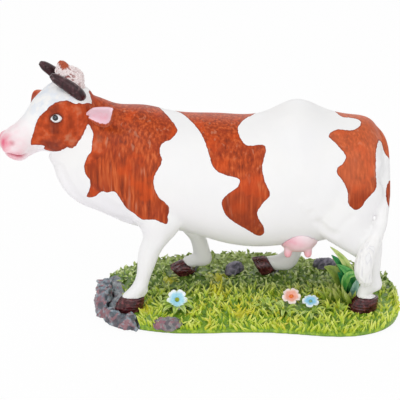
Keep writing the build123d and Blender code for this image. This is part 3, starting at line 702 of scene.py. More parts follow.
def hidePaint():
    paint = Paint("hidePaint", 0.42, 0.0, 0.22)
    edge = paint.speckle(0.45, 2) - 0.5
    brown = paint.value("brown") + edge * 1.1
    strokes = paint.speckle(0.5, 3, (1, 1, 0.08))
    broad = paint.speckle(0.06, 2)
    # The palest stop of the head's blotches is a painted highlight
    blotches = paint.ramp(
        paint.speckle(0.11, 3), (0.32, 126, 40, 10), (0.46, 168, 60, 18), (0.56, 202, 78, 30), (0.7, 206, 124, 88),
    )
    fur = paint.over(
        paint.ramp(strokes, (0.3, 128, 46, 16), (0.48, 172, 66, 22), (0.6, 196, 84, 36), (0.75, 212, 110, 60)),
        (paint.step(broad, 0.45, 0.7) * 0.45, (148, 44, 14)),
        (paint.step(paint.speckle(0.07, 3), 0.52, 0.66) * 0.5, (212, 76, 16)),
        # Pale grey-pink streaks: painted sheen on the brown
        (paint.step(paint.speckle(0.32, 2, (1, 1, 0.07)), 0.6, 0.74) * 0.45, (206, 142, 112)),
        (paint.value("sunlit") * (0.1 + 0.5 * broad), (226, 124, 82)),
        (paint.value("shaded") * 0.55, (138, 50, 14)),
        (paint.value("onFace") * 0.85, blotches),
        (paint.step(brown, 1.0, 0.15) * 0.75, (132, 44, 22)),
        (paint.value("lid") * 0.75, (82, 28, 14)),
    )
    blush = paint.step(paint.speckle(0.2, 3), 0.3, 0.7)
    white = paint.over(
        paint.mix(paint.speckle(0.03, 2), (246, 245, 243), (238, 238, 240)),
        # Painted shade: cool grey blotches on the forehead
        (paint.value("blaze") * paint.step(paint.speckle(0.16, 3), 0.4, 0.65) * 0.7, (218, 226, 238)),
        # Painted light: the downward faces painted a paler, cooler white
        (paint.value("under") * 0.8, (250, 246, 253)),
        (paint.value("muzzle") * (0.45 + 0.4 * blush), (250, 204, 213)),
        (paint.value("nose") * (0.75 + 0.3 * blush), (232, 112, 138)),
        (paint.value("crease"), (196, 84, 104)),
    )
    paint.colour(paint.mix(paint.step(brown, -0.12, 0.12), white, fur))
    paint.relief(strokes, 0.06)
    return paint


def buildHide():
    piece = evenCopy("cowHide", hide["nodes"] + hide["underneath"], hide["voxel"], 10)
    refineHead(piece)
    paintHide(piece)
    sculptHide(piece)
    finished(piece, hidePaint(), hide["nodes"])
    print("hide", len(piece.data.polygons))


buildHide()

# Ears

ears = {
    # Edges of the near ear in its own plane: place along it, lower edge, upper edge
    "edges": [
        (-3, -2.5, 0.5), (2.5, -5.2, 2.4), (7, -8.0, 4.8), (12, -10.2, 6.8), (18, -10.4, 7.6), (23, -8.4, 7.8),
        (28, -4.6, 8.0), (32, 1.6, 8.0), (34.5, 6.2, 7.8),
    ],
    "root": (13.2, -3.7, 0),
    "sweep": 29,
    "cup": 4.2,
    "tipRise": 1.2,
    "thickness": 2.2,
}


def buildEar(name, node, side, paint):
    piece = madeBy(bpy.ops.mesh.primitive_grid_add, name, x_subdivisions=26, y_subdivisions=16, size=1)
    grid = pointsOf(piece) * mm + 0.5
    knots, lower, upper = np.array(ears["edges"]).T
    along = knots[0] + grid[:, 0] * (knots[-1] - knots[0])
    low, high = np.interp(along, knots, lower), np.interp(along, knots, upper)
    up = low + grid[:, 1] * (high - low)
    across = grid[:, 1] * 2 - 1
    depth = -ears["cup"] * (1 - across ** 2) * np.sin(np.clip(grid[:, 0] * 1.05 + 0.05, 0, 1) * math.pi) ** 0.7
    depth = depth + ears["tipRise"] * grid[:, 0]
    sweep = math.radians(ears["sweep"])
    way = np.array((math.cos(sweep), 0, -math.sin(sweep)))
    face = np.array((math.sin(sweep), 0, math.cos(sweep)))
    turn = np.array((side, 1, 1))
    movePoints(piece, fromHead(spread(ears["root"], (along, way), (up, (0, 1, 0)), (depth, face)) * turn))
    keepValues(piece, across=across, along=grid[:, 0])
    pick(piece)
    if side > 0:
        editAll(bpy.ops.mesh.flip_normals)
    finishWith(piece, "SOLIDIFY", thickness=ears["thickness"] * mm, offset=-1)
    finishWith(piece, "SUBSURF", levels=1, render_levels=1)
    keepValues(piece, inner=normalsOf(piece) @ (face * turn @ headWays))
    finished(piece, paint, [node])
    print(name, len(piece.data.polygons))


def buildEars():
    paint = Paint("earPaint", 0.4, 0.1)
    strokes = paint.speckle(0.5, 3)
    fur = paint.ramp(strokes, (0.3, 140, 58, 34), (0.6, 188, 84, 44), (0.8, 205, 100, 58))
    across, along = paint.value("across"), paint.value("along")
    wobble = (paint.speckle(0.4, 2) - 0.5) * 0.25
    inside = paint.step(paint.value("inner"), 0.0, 0.15)
    inside = inside * paint.step(across + wobble, -0.82, -0.74) * paint.step(along + wobble * 0.3, 0.05, 0.1)
    deep = paint.step(across * across * 2.2 + (along - 0.5) * (along - 0.5) * 8, 1.0, 0.0)
    cloud = paint.step(paint.speckle(0.2, 3), 0.35, 0.65)
    pink = paint.mix(deep * (0.2 + 0.4 * cloud), (244, 212, 224), (242, 170, 188))
    paint.colour(paint.mix(inside, fur, pink))
    paint.relief(strokes, 0.1)
    buildEar("nearEar", "left_ear", 1, paint)
    buildEar("farEar", "right_ear", -1, paint)


buildEars()


# Eyes: a flattened ball behind each lid, with its painted pupil

def buildEye(name, node, side, paint):
    piece = madeBy(bpy.ops.mesh.primitive_uv_sphere_add, name, segments=48, ring_count=32, radius=1)
    ball = pointsOf(piece) * mm
    ball[:, 2] *= 1 - 0.3 * abs(ball[:, 0]) ** 2.5
    middle, along, upward, outward = eyeFrame(side)
    long, high = ball[:, 0] * eyes["half"][0], ball[:, 2] * eyes["half"][1]
    places = spread(middle, (-ball[:, 1] * eyes["thickness"], outward), (high, upward), (long, along))
    movePoints(piece, fromHead(places))
    for value in ("pupil", "glint"):
        shift = eyes[value + "Shift"]
        away = np.hypot(long - shift[0], high - shift[1])
        keepValues(piece, **{value: np.where(ball[:, 1] < 0, away, 9)})
    pick(piece)
    editAll(bpy.ops.mesh.normals_make_consistent, inside=False)
    finished(piece, paint, [node])
    print(name, len(piece.data.polygons))


def buildEyes():
    paint = Paint("eyePaint", 0.15, 0.6)
    dark = paint.step(paint.value("pupil"), eyes["pupil"] + 0.15, eyes["pupil"] - 0.15)
    grey = paint.step(paint.value("glint"), 0.9, 0.2)
    ball = paint.mix(paint.speckle(0.2, 2), (250, 250, 250), (232, 234, 238))
    paint.colour(paint.mix(dark, ball, paint.mix(grey * 0.6, (12, 14, 18), (120, 136, 152))))
    buildEye("nearEye", "left_eye", 1, paint)
    buildEye("farEye", "right_eye", -1, paint)


buildEyes()

# Horns: tapered tubes with closed, rounded ends

horns = {
    "left_horn": [
        (9.5, 8.5, -2.6), (11.6, 10.5, -2.2), (12.3, 13.5, -1.2), (12.7, 17, 0.5), (12.6, 21, 3.0), (12, 25.5, 5.8),
        (11.4, 29.6, 8.6), (11, 32.4, 10.3), (10.9, 34.2, 11.4),
    ],
    "right_horn": [
        (-9.5, 8.5, -2.6), (-11.6, 10.5, -2.2), (-12.4, 14, -1.2), (-13, 18, 0.5), (-13, 23, 3.0),
        (-12.8, 28.5, 5.8), (-12.4, 33.4, 8.6), (-12.2, 36.4, 10.4), (-12.1, 38.2, 11.6),
    ],
    "thickness": [4.0, 4.5, 4.6, 4.6, 4.5, 4.2, 3.7, 3.0, 1.6],
}


def hornTube(name, knots):
    curve = bpy.data.curves.new(name, "CURVE")
    curve.dimensions = "3D"
    curve.bevel_depth = 1
    curve.bevel_resolution = 8
    curve.use_fill_caps = True
    spline = curve.splines.new("NURBS")
    spline.points.add(len(knots) - 1)
    for point, knot, radius in zip(spline.points, knots, horns["thickness"]):
        point.co = (*(knot * mm), 1)
        point.radius = radius * mm
    spline.use_endpoint_u = True
    spline.order_u = 4
    spline.resolution_u = 8
    pick(linked(name, curve))
    bpy.ops.object.convert(target="MESH")
    editAll(bpy.ops.mesh.remove_doubles, threshold=0.01 * mm)
    editAll(bpy.ops.mesh.normals_make_consistent, inside=False)
    return bpy.context.object


def buildHorns():
    paint = Paint("hornPaint", 0.3, 0.15)
    streak = paint.speckle(0.35, 3, (1, 1, 0.5))
    # Pale grey-pink specks: dust, and painted highlights on the glossy horn
    dustAndSheen = paint.step(paint.speckle(0.22, 3), 0.55, 0.8)
    base = paint.ramp(streak, (0.3, 26, 8, 12), (0.58, 60, 26, 32), (0.8, 98, 62, 68))
    paint.colour(paint.mix(dustAndSheen * 0.5, base, (158, 126, 128)))
    paint.relief(streak, 0.15)
    for name, node in (("nearHorn", "left_horn"), ("farHorn", "right_horn")):
        piece = hornTube(name, fromHead(horns[node]))
        finishWith(piece, "SUBSURF", levels=1, render_levels=1)
        points = pointsOf(piece)
        points = raised(points, normalsOf(piece), 0.18 * lumps(points, 3.5))
        movePoints(piece, np.clip(points, cadLow, cadHigh - 0.05))
        finished(piece, paint, [node])
    print("horns done")


buildHorns()

# Curly lump between the horns

forelock = {
    "voxel": 0.6,
    "curlSize": 2.6,
    "curlHeight": 0.65,
    # Middle, reach and way of each pull, in the head's directions
    "pulls": [
        ((0, 31, -2), 3.5, (0, 6.4, 0)), ((0, 34, -8), 6.5, (0, -3.4, 0.6)), ((0, 33, 4.5), 5, (0, -2.6, 0)),
        ((0, 25, 7), 6, (0, 0.3, 2.2)), ((0, 21, -8), 9, (0, 1.0, -3)),
    ],
}


def buildForelock():
    piece = evenCopy("forelockCurls", ["forelock"], forelock["voxel"])
    places = inHead(pointsOf(piece))
    for pull in forelock["pulls"]:
        places = pulled(places, *pull)
    points = fromHead(places)
    movePoints(piece, points)
    curls = 1 - abs(lumps(points, forelock["curlSize"], 3)) * 4
    points = raised(points, normalsOf(piece), np.clip(curls, -1, 1) * forelock["curlHeight"])
    movePoints(piece, np.clip(points, cadLow, cadHigh - 0.05))
    keepValues(
        piece, curls=curls, veined=np.clip((places[:, 2] + 10) / 8, 0.15, 1),
        peak=ramped(places[:, 1], 31, 1.2) * ramped(places[:, 2], 2, -1.5),
    )
    paint = Paint("forelockPaint", 0.45)
    veins = paint.step(paint.value("curls"), 0.0, -0.7) * paint.value("veined")
    wisps = paint.speckle(0.5, 3)
    tuft = paint.mix(wisps, (250, 243, 241), (234, 214, 214))
    tuft = paint.mix(veins * 0.9, tuft, paint.mix(wisps, (120, 40, 40), (176, 92, 84)))
    paint.colour(paint.mix(paint.value("peak"), tuft, (176, 80, 48)))
    finished(piece, paint, ["forelock"])
    print("forelock", len(piece.data.polygons))


buildForelock()

# Udder

udder = {
    "voxel": 0.8,
    "teatTop": 57,
    "pinkest": (66, -20, 64),
    "palest": (84, -20, 72),
}


def buildUdder():
    piece = evenCopy("udderWithTeats", ["udder"], udder["voxel"], 8)
    points = pointsOf(piece)
    keepValues(
        piece, teats=ramped(points[:, 2], udder["teatTop"], -6),
        deep=np.clip(1.1 - np.linalg.norm((points - udder["pinkest"]) / (13, 30, 8), axis=1), 0, 1),
        pale=np.clip(1.4 - np.linalg.norm((points - udder["palest"]) / (13, 40, 8), axis=1), 0, 1),
    )
    paint = Paint("udderPaint", 0.35, 0.2)
    soft = paint.speckle(0.08, 2)
    paint.colour(paint.over(
        paint.mix(soft, (248, 224, 230), (246, 200, 210)),
        (paint.value("deep") * (0.1 + 0.9 * paint.speckle(0.25, 3)), (240, 150, 172)),
        (paint.value("pale") * (0.5 + 0.5 * soft), (250, 244, 246)),
        (paint.value("teats"), (248, 178, 190)),
    ))
    paint.relief(paint.speckle(0.5, 3), 0.08)
    finished(piece, paint, ["udder"])
    print("udder", len(piece.data.polygons))


buildUdder()

# Tuft of the tail: long locks that fade out where it leaves the tail

tuft = {
    "voxel": 0.7,
    "lockDepth": 0.45,
    "lockStretch": (0.42, 0.42, 0.07),
    "pull": ((133, -32, 37), 11, (3.6, 0, 0)),
    "fade": 9,
}


def buildTuft():
    piece = evenCopy("tailTuft", ["tail_switch"], tuft["voxel"], 4)
    points = pulled(pointsOf(piece), *tuft["pull"])
    locks = 1 - abs(lumps(points * np.array(tuft["lockStretch"]), 1.0, 5)) * 3.2
    fade = ramped(points[:, 2], points[:, 2].max(), -tuft["fade"])
    height = (locks * tuft["lockDepth"] + 0.15) * fade - 0.5 * (1 - fade)
    movePoints(piece, raised(points, normalsOf(piece), height))
    keepValues(piece, locks=locks)
    paint = Paint("tuftPaint", 0.4, 0.1)
    # Painted shade: the grooves between the locks are greyer
    groove = paint.step(paint.value("locks"), 0.2, -0.9)
    paint.colour(paint.mix(groove * 0.5, (243, 242, 241), (206, 206, 214)))
    paint.relief(paint.speckle(0.6, 3, (1, 1, 0.1)), 0.1)
    finished(piece, paint, ["tail_switch"])
    print("tail tuft", len(piece.data.polygons))


buildTuft()

# Hooves: a cleft toe and growth rings on each casting

hooves = {
    "pieces": {
        "front_left_hoof": "nearFrontHoof", "front_right_hoof": "farFrontHoof",
        "rear_left_hoof": "nearRearHoof", "rear_right_hoof": "farRearHoof",
    },
    "voxel": 0.6,
    "ringGap": 2.3,
    "ringHeight": 0.15,
    "cleft": 1.5,
    "cleftWidth": 0.9,
    "flare": 1.5,
}


def soleWay(piece):
    # The way that most of the low, flat faces look
    areas = {}
    for face in piece.data.polygons:
        if face.normal.z < -0.5:
            way = tuple(round(value, 2) for value in face.normal)
            areas[way] = areas.get(way, 0) + face.area
    return np.array(max(areas, key=areas.get))


def buildHooves():
    paint = Paint("hoofPaint", 0.22, 0.35)
    streak = paint.speckle(0.35, 3)
    # Pale specks: dust, and painted highlights on the glossy hoof
    dustAndSheen = paint.step(paint.speckle(0.3, 3), 0.58, 0.76)
    # The raised rings are painted a little lighter: painted highlights on the rings
    tone = paint.value("ring") * 0.1 + streak
    base = paint.ramp(tone, (0.3, 36, 8, 12), (0.54, 76, 26, 30), (0.76, 130, 68, 70))
    paint.colour(paint.mix(dustAndSheen * 0.28, base, (172, 124, 122)))
    paint.relief(streak, 0.2)
    for node, name in hooves["pieces"].items():
        piece = evenCopy(name, [node], hooves["voxel"], 3)
        rise = -soleWay(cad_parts[node])
        points, normals = pointsOf(piece), normalsOf(piece)
        toe = unit(rise * rise[0] - (1, 0, 0))
        side = np.cross(rise, toe)
        height = points @ rise
        share = (height - height.min()) / (height.max() - height.min())
        ahead = (points - points.mean(0)) @ toe
        ahead = ahead / abs(ahead).max()
        across = (points - points.mean(0)) @ side
        cleft = np.exp(-(across / hooves["cleftWidth"]) ** 2) * np.clip(ahead * 1.8 - 0.4, 0, 1) * hooves["cleft"]
        ring = np.sin(height * 2 * math.pi / hooves["ringGap"] + 2.2 * lumps(points, 6))
        ring = ring * np.clip(0.7 + 1.6 * lumps(points, 3.5, 4), 0.1, 1.3)
        ring = ring * np.clip(1.3 - abs(normals @ rise) * 1.8, 0, 1)
        points = points + np.outer((1 - share) * np.clip(ahead, 0, 1) * hooves["flare"] - cleft, toe)
        movePoints(piece, raised(points, normals, ring * hooves["ringHeight"]))
        keepValues(piece, ring=ring)
        finished(piece, paint, [node])
    print("hooves done")


buildHooves()


# Pins and felt keep their castings and get their finish

def paintCastings():
    steel = Paint("pinSteel", 0.35)
    steel.surface.inputs["Metallic"].default_value = 1
    steel.colour(steel.mix(steel.speckle(0.8, 2, (1, 1, 0.05)), (170, 170, 174), (130, 130, 136)))
    steel.on(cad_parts["leg_pins"])

    felt = Paint("feltPaint", 0.95)
    fuzz = felt.speckle(1.2, 4)
    felt.colour(felt.mix(fuzz, (40, 62, 44), (60, 84, 62)))
    felt.relief(fuzz, 0.2)
    felt.on(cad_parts["felt_sheet"])


paintCastings()

# Grass mound: the casting with a coarse relief, then blades before the cow and curled leaves behind it

meadow = {
    "voxel": 1.3,
    "height": 14.2,
    "slope": math.tan(math.radians(11.3)),
    "middle": 35.043,
    "half": (115.05, 53),
    # Gap, seed, shortest and longest, narrowest and widest, lift in degrees and how loosely it curls
    "blades": (1.9, 11, (6, 9.5), (1.3, 2.3), (6, 19), 0.0),
    "curls": (2.4, 21, (3.6, 6.0), (2.0, 3.2), (14, 46), 0.8),
    "lean": 0.6,
    "farFrom": (-10, 5),       # the darker far half starts between these
    "dusk": (2, 13),           # middle and half width of the band of painted shade
    "farRimLight": (24, 12),          # painted light over the far rim grows from here, over this width
    # Yellow patches: middle and reach
    "golden": [
        (-41, -26, 7), (14, 15, 9), (13, -5, 9), (1, -24, 6), (-23, 11, 7), (-8, -32, 5), (30, -32, 9), (90, -9, 5),
    ],
    "hooves": [(-53.264, -23, 11), (-13, 23, 6.5), (123.35, -23, 11), (50, 23, 6.5)],
    "foot": 1.5,               # grass grows above this height
    "shortest": 1.2,           # blades cut shorter than this are left out
    "tallAt": (107, -22),      # longer blades before the plant
    "stonyFor": 5.0,           # the ground is stony this far round the corner rock
    "flowers": [(-17.3, -21), (67.8, -15.5), (82.2, -23)],
    # Outlines of the corner rock in halves of the base
    "rocks": [
        [(-1.02, 0.12), (-0.995, -0.38), (-0.92, -0.47), (-0.855, -0.3), (-0.85, 0.1), (-0.89, 0.3)],
        [(-0.97, -0.2), (-0.93, -0.6), (-0.82, -0.82), (-0.745, -0.88), (-0.73, -0.68), (-0.8, -0.62), (-0.9, -0.4)],
    ],
}


def rockDepth(points):
    # How deep each point lies inside the outlines of the corner rock
    outlines = [np.array(rock) * meadow["half"] + (meadow["middle"], 0) for rock in meadow["rocks"]]
    return np.maximum.reduce([insideBy(points[:, :2], outline) for outline in outlines])


def spotsOn(piece, gap, seed, accept):
    # Even spots over a piece, no two nearer than the gap, with the way each one faces
    piece.data.calc_loop_triangles()
    corners = np.empty(len(piece.data.loop_triangles) * 3, int)
    piece.data.loop_triangles.foreach_get("vertices", corners)
    origin, second, third = pointsOf(piece)[corners].reshape(-1, 3, 3).transpose(1, 0, 2)
    across = np.cross(second - origin, third - origin)
    area = np.linalg.norm(across, axis=1) / 2
    dice = np.random.default_rng(seed)
    count = int(area.sum() / gap ** 2 * 5)
    chosen = dice.choice(len(area), count, p=area / area.sum())
    u, v = dice.random(count), dice.random(count)
    fold = u + v > 1
    u, v = np.where(fold, 1 - u, u)[:, None], np.where(fold, 1 - v, v)[:, None]
    spots = origin[chosen] + u * (second - origin)[chosen]
    spots += v * (third - origin)[chosen]
    ways = unit(across[chosen])
    keep = accept(spots, ways)
    spots, ways = spots[keep], ways[keep]
    taken = {}
    kept = []
    for index, spot in enumerate(spots):
        cell = tuple(int(value) for value in spot // gap)
        near = [
            other for x in (-1, 0, 1) for y in (-1, 0, 1) for z in (-1, 0, 1)
            for other in taken.get((cell[0] + x, cell[1] + y, cell[2] + z), [])
        ]
        if all(((spot - spots[other]) ** 2).sum() > gap ** 2 for other in near):
            taken.setdefault(cell, []).append(index)
            kept.append(index)
    return spots[kept], ways[kept]


def farness(points):
    low, high = meadow["farFrom"]
    return ramped(points[:, 1] + 6 * lumps(points * (1, 1, 0), 14, 2), low, high - low)


def keepPlaceTones(piece, points, corners=1):
    # What the place does to the colour: painted shade before the legs, painted light at the far rim, yellow in
    # patches
    x, y = points[:, 0], points[:, 1]
    middle, half = meadow["dusk"]
    golden = [
        np.exp(-((x - spot) / reach) ** 2 - ((y - side) / reach) ** 2) for spot, side, reach in meadow["golden"]
    ]
    values = {
        "far": farness(points),
        "dusk": np.exp(-((y - middle) / half) ** 2) * ramped(x, 132, -20),
        "farRimLight": ramped(y, *meadow["farRimLight"]),
        "golden": np.maximum.reduce(golden),
    }
    keepValues(piece, **{name: np.repeat(numbers, corners) for name, numbers in values.items()})


def clearOf(points):
    # Shortens what would stand before the hooves and the flowers, down to nothing inside a hoof
    share = np.ones(len(points))
    for x, y, radius in meadow["hooves"]:
        away = np.hypot(points[:, 0] - x, (points[:, 1] - y) * 1.25)
        before = np.hypot(points[:, 0] - x, (points[:, 1] - y + 11) * 1.3)
        share = np.minimum(share, np.clip((away - radius) / 6 + 0.45, 0, 1))
        share = np.minimum(share, np.clip((before - 11) / 6 + 0.4, 0.75, 1))
    for x, y in meadow["flowers"]:
        before = np.hypot(points[:, 0] - x, (points[:, 1] - y + 6) * 0.8)
        share = np.minimum(share, np.clip((before - 8) / 5 + 0.35, 0.35, 1))
    x, y = meadow["tallAt"]
    return share * (1 + 0.8 * np.exp(-((points[:, 0] - x) / 9) ** 2 - ((points[:, 1] - y) / 6) ** 2))


def grownOver(name, mound, accept, pattern, gap, seed, lengths, widths, lift, curl):
    # Bent copies of a blade or a leaf, rooted in the mound
    roots, facing = spotsOn(mound, gap, seed, accept)
    dice = np.random.default_rng(seed + 1)
    count = len(roots)
    side = lumps(roots, 11, seed) * 2.4 + dice.normal(0, 0.35, count)
    wanted = np.stack((side * meadow["lean"], np.full(count, 0.35), np.ones(count)), 1)
    turn = dice.uniform(0, 2 * math.pi, count)
    loose = np.stack((np.cos(turn), np.sin(turn) * 0.8 + 0.2, np.full(count, 0.4)), 1)
    wanted = wanted * (1 - curl) + loose * curl
    flat = unit(wanted - (wanted * facing).sum(1, keepdims=True) * facing)
    steep = np.radians(dice.uniform(*lift, count)) * np.clip(facing[:, 2] * 1.4 - 0.1, 0.25, 1)
    along = flat * np.cos(steep)[:, None] + facing * np.sin(steep)[:, None]
    across = unit(np.cross(along, facing))
    outward = np.cross(across, along)
    length = dice.uniform(*lengths, count) * clearOf(roots)
    keep = length > meadow["shortest"]
    width = dice.uniform(*widths, count) * np.clip(length / 5, 0.6, 1)
    bend = length * dice.normal(0, 0.14 + 0.2 * curl, count) + side * 0.5
    droop = length * dice.uniform(0.0, 0.22 + 0.25 * curl, count)
    points, faces = pattern
    x, y, z = points.T
    length, width, bend, droop = [values[:, None] for values in (length, width, bend, droop)]
    placed = (
        roots[:, None] - outward[:, None] * 0.5 + along[:, None] * (length * y)[..., None]
        + across[:, None] * (width * x + bend * y * y)[..., None]
        + outward[:, None] * (width * z - droop * y * y)[..., None]
    )[keep]
    piece = copiesOf(name, faces, placed)
    movePoints(piece, np.clip(pointsOf(piece), cadLow + 0.02, cadHigh - 0.02))
    keepValues(piece, rise=np.tile(y, len(placed)), tone=np.repeat(dice.random(len(placed)), len(y)))
    keepPlaceTones(piece, roots[keep], len(y))
    return piece


def bladePattern():
    # A three-sided blade: a cone cut twice along its length, then swelled and bellied
    model = madeBy(
        bpy.ops.mesh.primitive_cone_add, "bladeModel", vertices=3, radius1=0.5, radius2=0, depth=1,
        location=(0, 0, 0.5),
    )
    for height in (0.35, 0.7):
        editAll(bpy.ops.mesh.bisect, plane_co=(0, 0, height), plane_no=(0, 0, 1))
    points, faces = patternOf(model)
    taper = np.maximum(1 - points[:, 2], 1e-6)
    swell = np.interp(points[:, 2], (0, 0.35, 0.7, 1), (0.75, 1.1, 0.8, 0.0))
    points[:, :2] *= (swell / taper)[:, None]
    return np.stack((points[:, 0] * 1.15, points[:, 2], points[:, 1] * 0.75), 1), faces


def ribbedPattern(across):
    # A pointed leaf with its two halves raised from the midrib
    points, faces = leafPattern(across)
    points[:, 0] *= np.interp(points[:, 1], (0, 0.2, 0.45, 0.7, 0.88, 1), (0.25, 0.75, 1, 0.85, 0.45, 0.04))
    points[:, 2] += 0.4 * abs(points[:, 0])
    return points, faces


def grassPaint(name):
    paint = Paint(name, 0.38, 0.25)
    rise, tone, far = paint.value("rise"), paint.value("tone"), paint.value("far")
    patch = paint.speckle(0.045, 3)
    fine = paint.speckle(0.7, 2)
    # Both ramps go from dark roots to pale tips: dry-brushed paint, and painted shade low between the blades
    near = paint.ramp(
        rise + (tone - 0.5) * 0.5 + (fine - 0.5) * 0.35,
        (0.0, 110, 150, 36), (0.2, 166, 194, 48), (0.5, 198, 214, 66), (0.95, 228, 236, 126),
    )
    yellow = paint.step(patch + (tone - 0.5) * 0.2, 0.57, 0.7) * paint.step(rise, 0.0, 0.25)
    near = paint.mix(yellow * (0.3 + tone * 0.3), near, (216, 198, 36))
    back = paint.ramp(
        rise + (tone - 0.5) * 0.6 + (fine - 0.5) * 0.5,
        (0.0, 90, 118, 44), (0.3, 134, 164, 64), (0.6, 168, 190, 98), (1.0, 222, 232, 176),
    )
    # Painted shade in a band before the legs and painted light over the far rim, then the yellow patches
    grass = paint.over(
        paint.mix(far, near, back),
        (paint.value("dusk") * 0.38, (68, 98, 28)),
        (paint.value("farRimLight") * 0.4, (196, 212, 124)),
        (paint.step(paint.value("golden") + (tone - 0.5) * 0.3, 0.3, 0.9) * 0.65, (226, 214, 40)),
    )
    paint.colour(grass)
    paint.relief(fine, 0.15)
    return paint, grass


def buildMound():
    mound = evenCopy("grassMound", ["base_casting"], meadow["voxel"], 3)
    points, normals = pointsOf(mound), normalsOf(mound)
    above = ramped(points[:, 2], meadow["foot"], 4)
    bumps = abs(lumps(points * (1, 0.7, 0.4), 3.6)) * 2.2 - 0.9
    points = raised(points, normals, bumps * above * 0.8)
    stony = ramped(rockDepth(points), -meadow["stonyFor"], 2)
    crags = (0.5 - abs(lumps(points, 5.5, 2)) * 4 + lumps(points, 2.4, 6) * 0.8) * above * stony
    movePoints(mound, np.clip(raised(points, normals, crags), cadLow, cadHigh))
    keepValues(
        mound, stony=stony, rise=bumps * 0.2 + 0.15 + 0.25 * ramped(points[:, 2], 7, -4),
        edge=ramped(points[:, 2], 1.7, -0.8),
    )
    keepPlaceTones(mound, points)
    soil, grass = grassPaint("soilPaint")
    grain = soil.speckle(0.35, 4)
    stone = soil.ramp(grain, (0.35, 102, 114, 124), (0.65, 152, 158, 160))
    stone = soil.mix(soil.step(soil.speckle(0.5, 3), 0.56, 0.66) * 0.6, stone, (148, 84, 98))
    ragged = soil.step(soil.value("stony") + (grain - 0.5) * 0.6, 0.35, 0.6)
    soil.colour(soil.over(grass, (soil.value("edge") * 0.8, (72, 112, 52)), (ragged, stone)))
    finished(mound, soil, ["base_casting"])
    print("mound", len(mound.data.polygons))
    return mound


def buildGrass(mound):
    def grassy(spots, ways):
        offRock = rockDepth(spots) < 0.8 - meadow["stonyFor"]
        return (spots[:, 2] > meadow["foot"]) & (ways[:, 2] > -0.3) & offRock

    def nearBlades(spots, ways):
        limit = np.random.default_rng(3).random(len(spots)) * 0.9 + 0.1
        return grassy(spots, ways) & (farness(spots) < limit)

    def farCurls(spots, ways):
        return grassy(spots, ways) & (farness(spots) > 0.35)

    paint, _ = grassPaint("grassPaint")
    front = grownOver("frontBlades", mound, nearBlades, bladePattern(), *meadow["blades"])
    back = grownOver("backCurls", mound, farCurls, smallLeaf, *meadow["curls"])
    for piece in (front, back):
        finished(piece, paint, angle=50)
        print(piece.name, len(piece.data.polygons))


smallLeaf = ribbedPattern(2)
buildGrass(buildMound())

# Broad leaves lying round the flowers

rosettes = {
    # Middle of each, then the turn of its leaves (0 to the right, 90 away), their length and width
    "frontBlue": ((-17, -22), [
        (-168, 12, 5.4), (-140, 13, 5), (-100, 11, 5), (-62, 12, 5), (-25, 12, 5), (5, 12, 5.2), (35, 13, 4.6),
        (75, 12, 5), (110, 13, 5), (145, 13, 5), (172, 13, 5),
    ]),
    "orange": ((64, -27), [
        (-175, 11, 4.4), (-145, 11, 4), (-105, 9, 3.8), (-70, 9, 3.8), (-35, 11, 4), (10, 9, 4), (150, 10, 4),
        (120, 9, 4),
    ]),
    "betweenFlowers": ((50, -23), [(-160, 9, 4), (-110, 8, 4), (-60, 9, 4), (20, 8, 4), (70, 8, 4), (130, 8, 4)]),
    "rearBlue": ((84, -31), [(-150, 9, 3.6), (-95, 8, 3.4), (-40, 10, 3.6), (15, 11, 4), (60, 9, 3.8)]),
    "byHoof": ((-34, -10), [(-60, 8, 4.4), (-10, 9, 4.4), (40, 9, 4), (100, 8, 4), (160, 7, 4)]),
    "nearSwitch": ((104, -30), [(20, 9, 3.6), (60, 9, 3.6), (120, 8, 3.4), (170, 8, 3.4)]),
}


def buildRosettes():
    points, faces = ribbedPattern(4)
    x, y, z = points.T
    slope = meadow["slope"]
    arch = 3.6 * np.sin(y * 2.4) - 1.4 * y * y
    placed = []
    for (middle, side), leaves in rosettes.values():
        for turn, length, width in leaves:
            angle = math.radians(turn)
            way = np.array((math.cos(angle), math.sin(angle), math.sin(angle) * slope))
            across = (math.sin(angle), -math.cos(angle), 0)
            root = np.array((middle, side, meadow["height"] + side * slope + 1.0)) + way * 1.5
            placed.append(spread(
                root, (y * length, way), (x * width, across), (z * width + arch, (0, -slope, 1)),
            ))
    piece = copiesOf("flowerLeaves", faces, placed)
    keepValues(piece, across=np.tile(abs(x), len(placed)), rise=np.tile(y, len(placed)))
    paint = Paint("flowerLeafPaint", 0.38, 0.2)
    rib = paint.step(paint.value("across") + (paint.speckle(0.8, 2) - 0.5) * 0.1, 0.09, 0.02)
    tone = paint.speckle(0.15, 2) + paint.value("rise") * 0.3
    green = paint.ramp(tone, (0.3, 118, 152, 48), (0.6, 170, 196, 84), (0.9, 206, 222, 138))
    paint.colour(paint.mix(rib * 0.7, green, (74, 112, 30)))
    paint.relief(paint.speckle(0.9, 2), 0.12)
    finished(piece, paint, angle=60)
    print("rosettes", len(piece.data.polygons))


buildRosettes()

# Rocks: cragged copies of the castings

rocks = {
    # Voxel, depth and size of the crags, then base, lighter and spot colours, share of spots and the colour of the
    # painted shade in the crevices
    "corner_rock": (
        "cornerBoulders", "boulderPaint", 1.0, 1.5, 7.0,
        (112, 128, 140), (164, 174, 180), (154, 84, 88), 0.49, (88, 96, 104),
    ),
    "edge_stone": (
        "edgeStone", "edgeStonePaint", 0.8, 0.7, 5.0,
        (116, 118, 120), (156, 152, 152), (156, 84, 102), 0.48, (92, 94, 100),
    ),
    "back_stone_left": (
        "backStoneLeft", "backStoneLeftPaint", 0.8, 0.6, 5.0,
        (102, 98, 112), (134, 128, 142), (112, 98, 120), 0.3, (70, 68, 80),
    ),
    "back_stone_right": (
        "backStoneRight", "backStoneRightPaint", 0.8, 0.6, 5.0,
        (102, 98, 112), (134, 128, 142), (112, 98, 120), 0.3, (70, 68, 80),
    ),
}


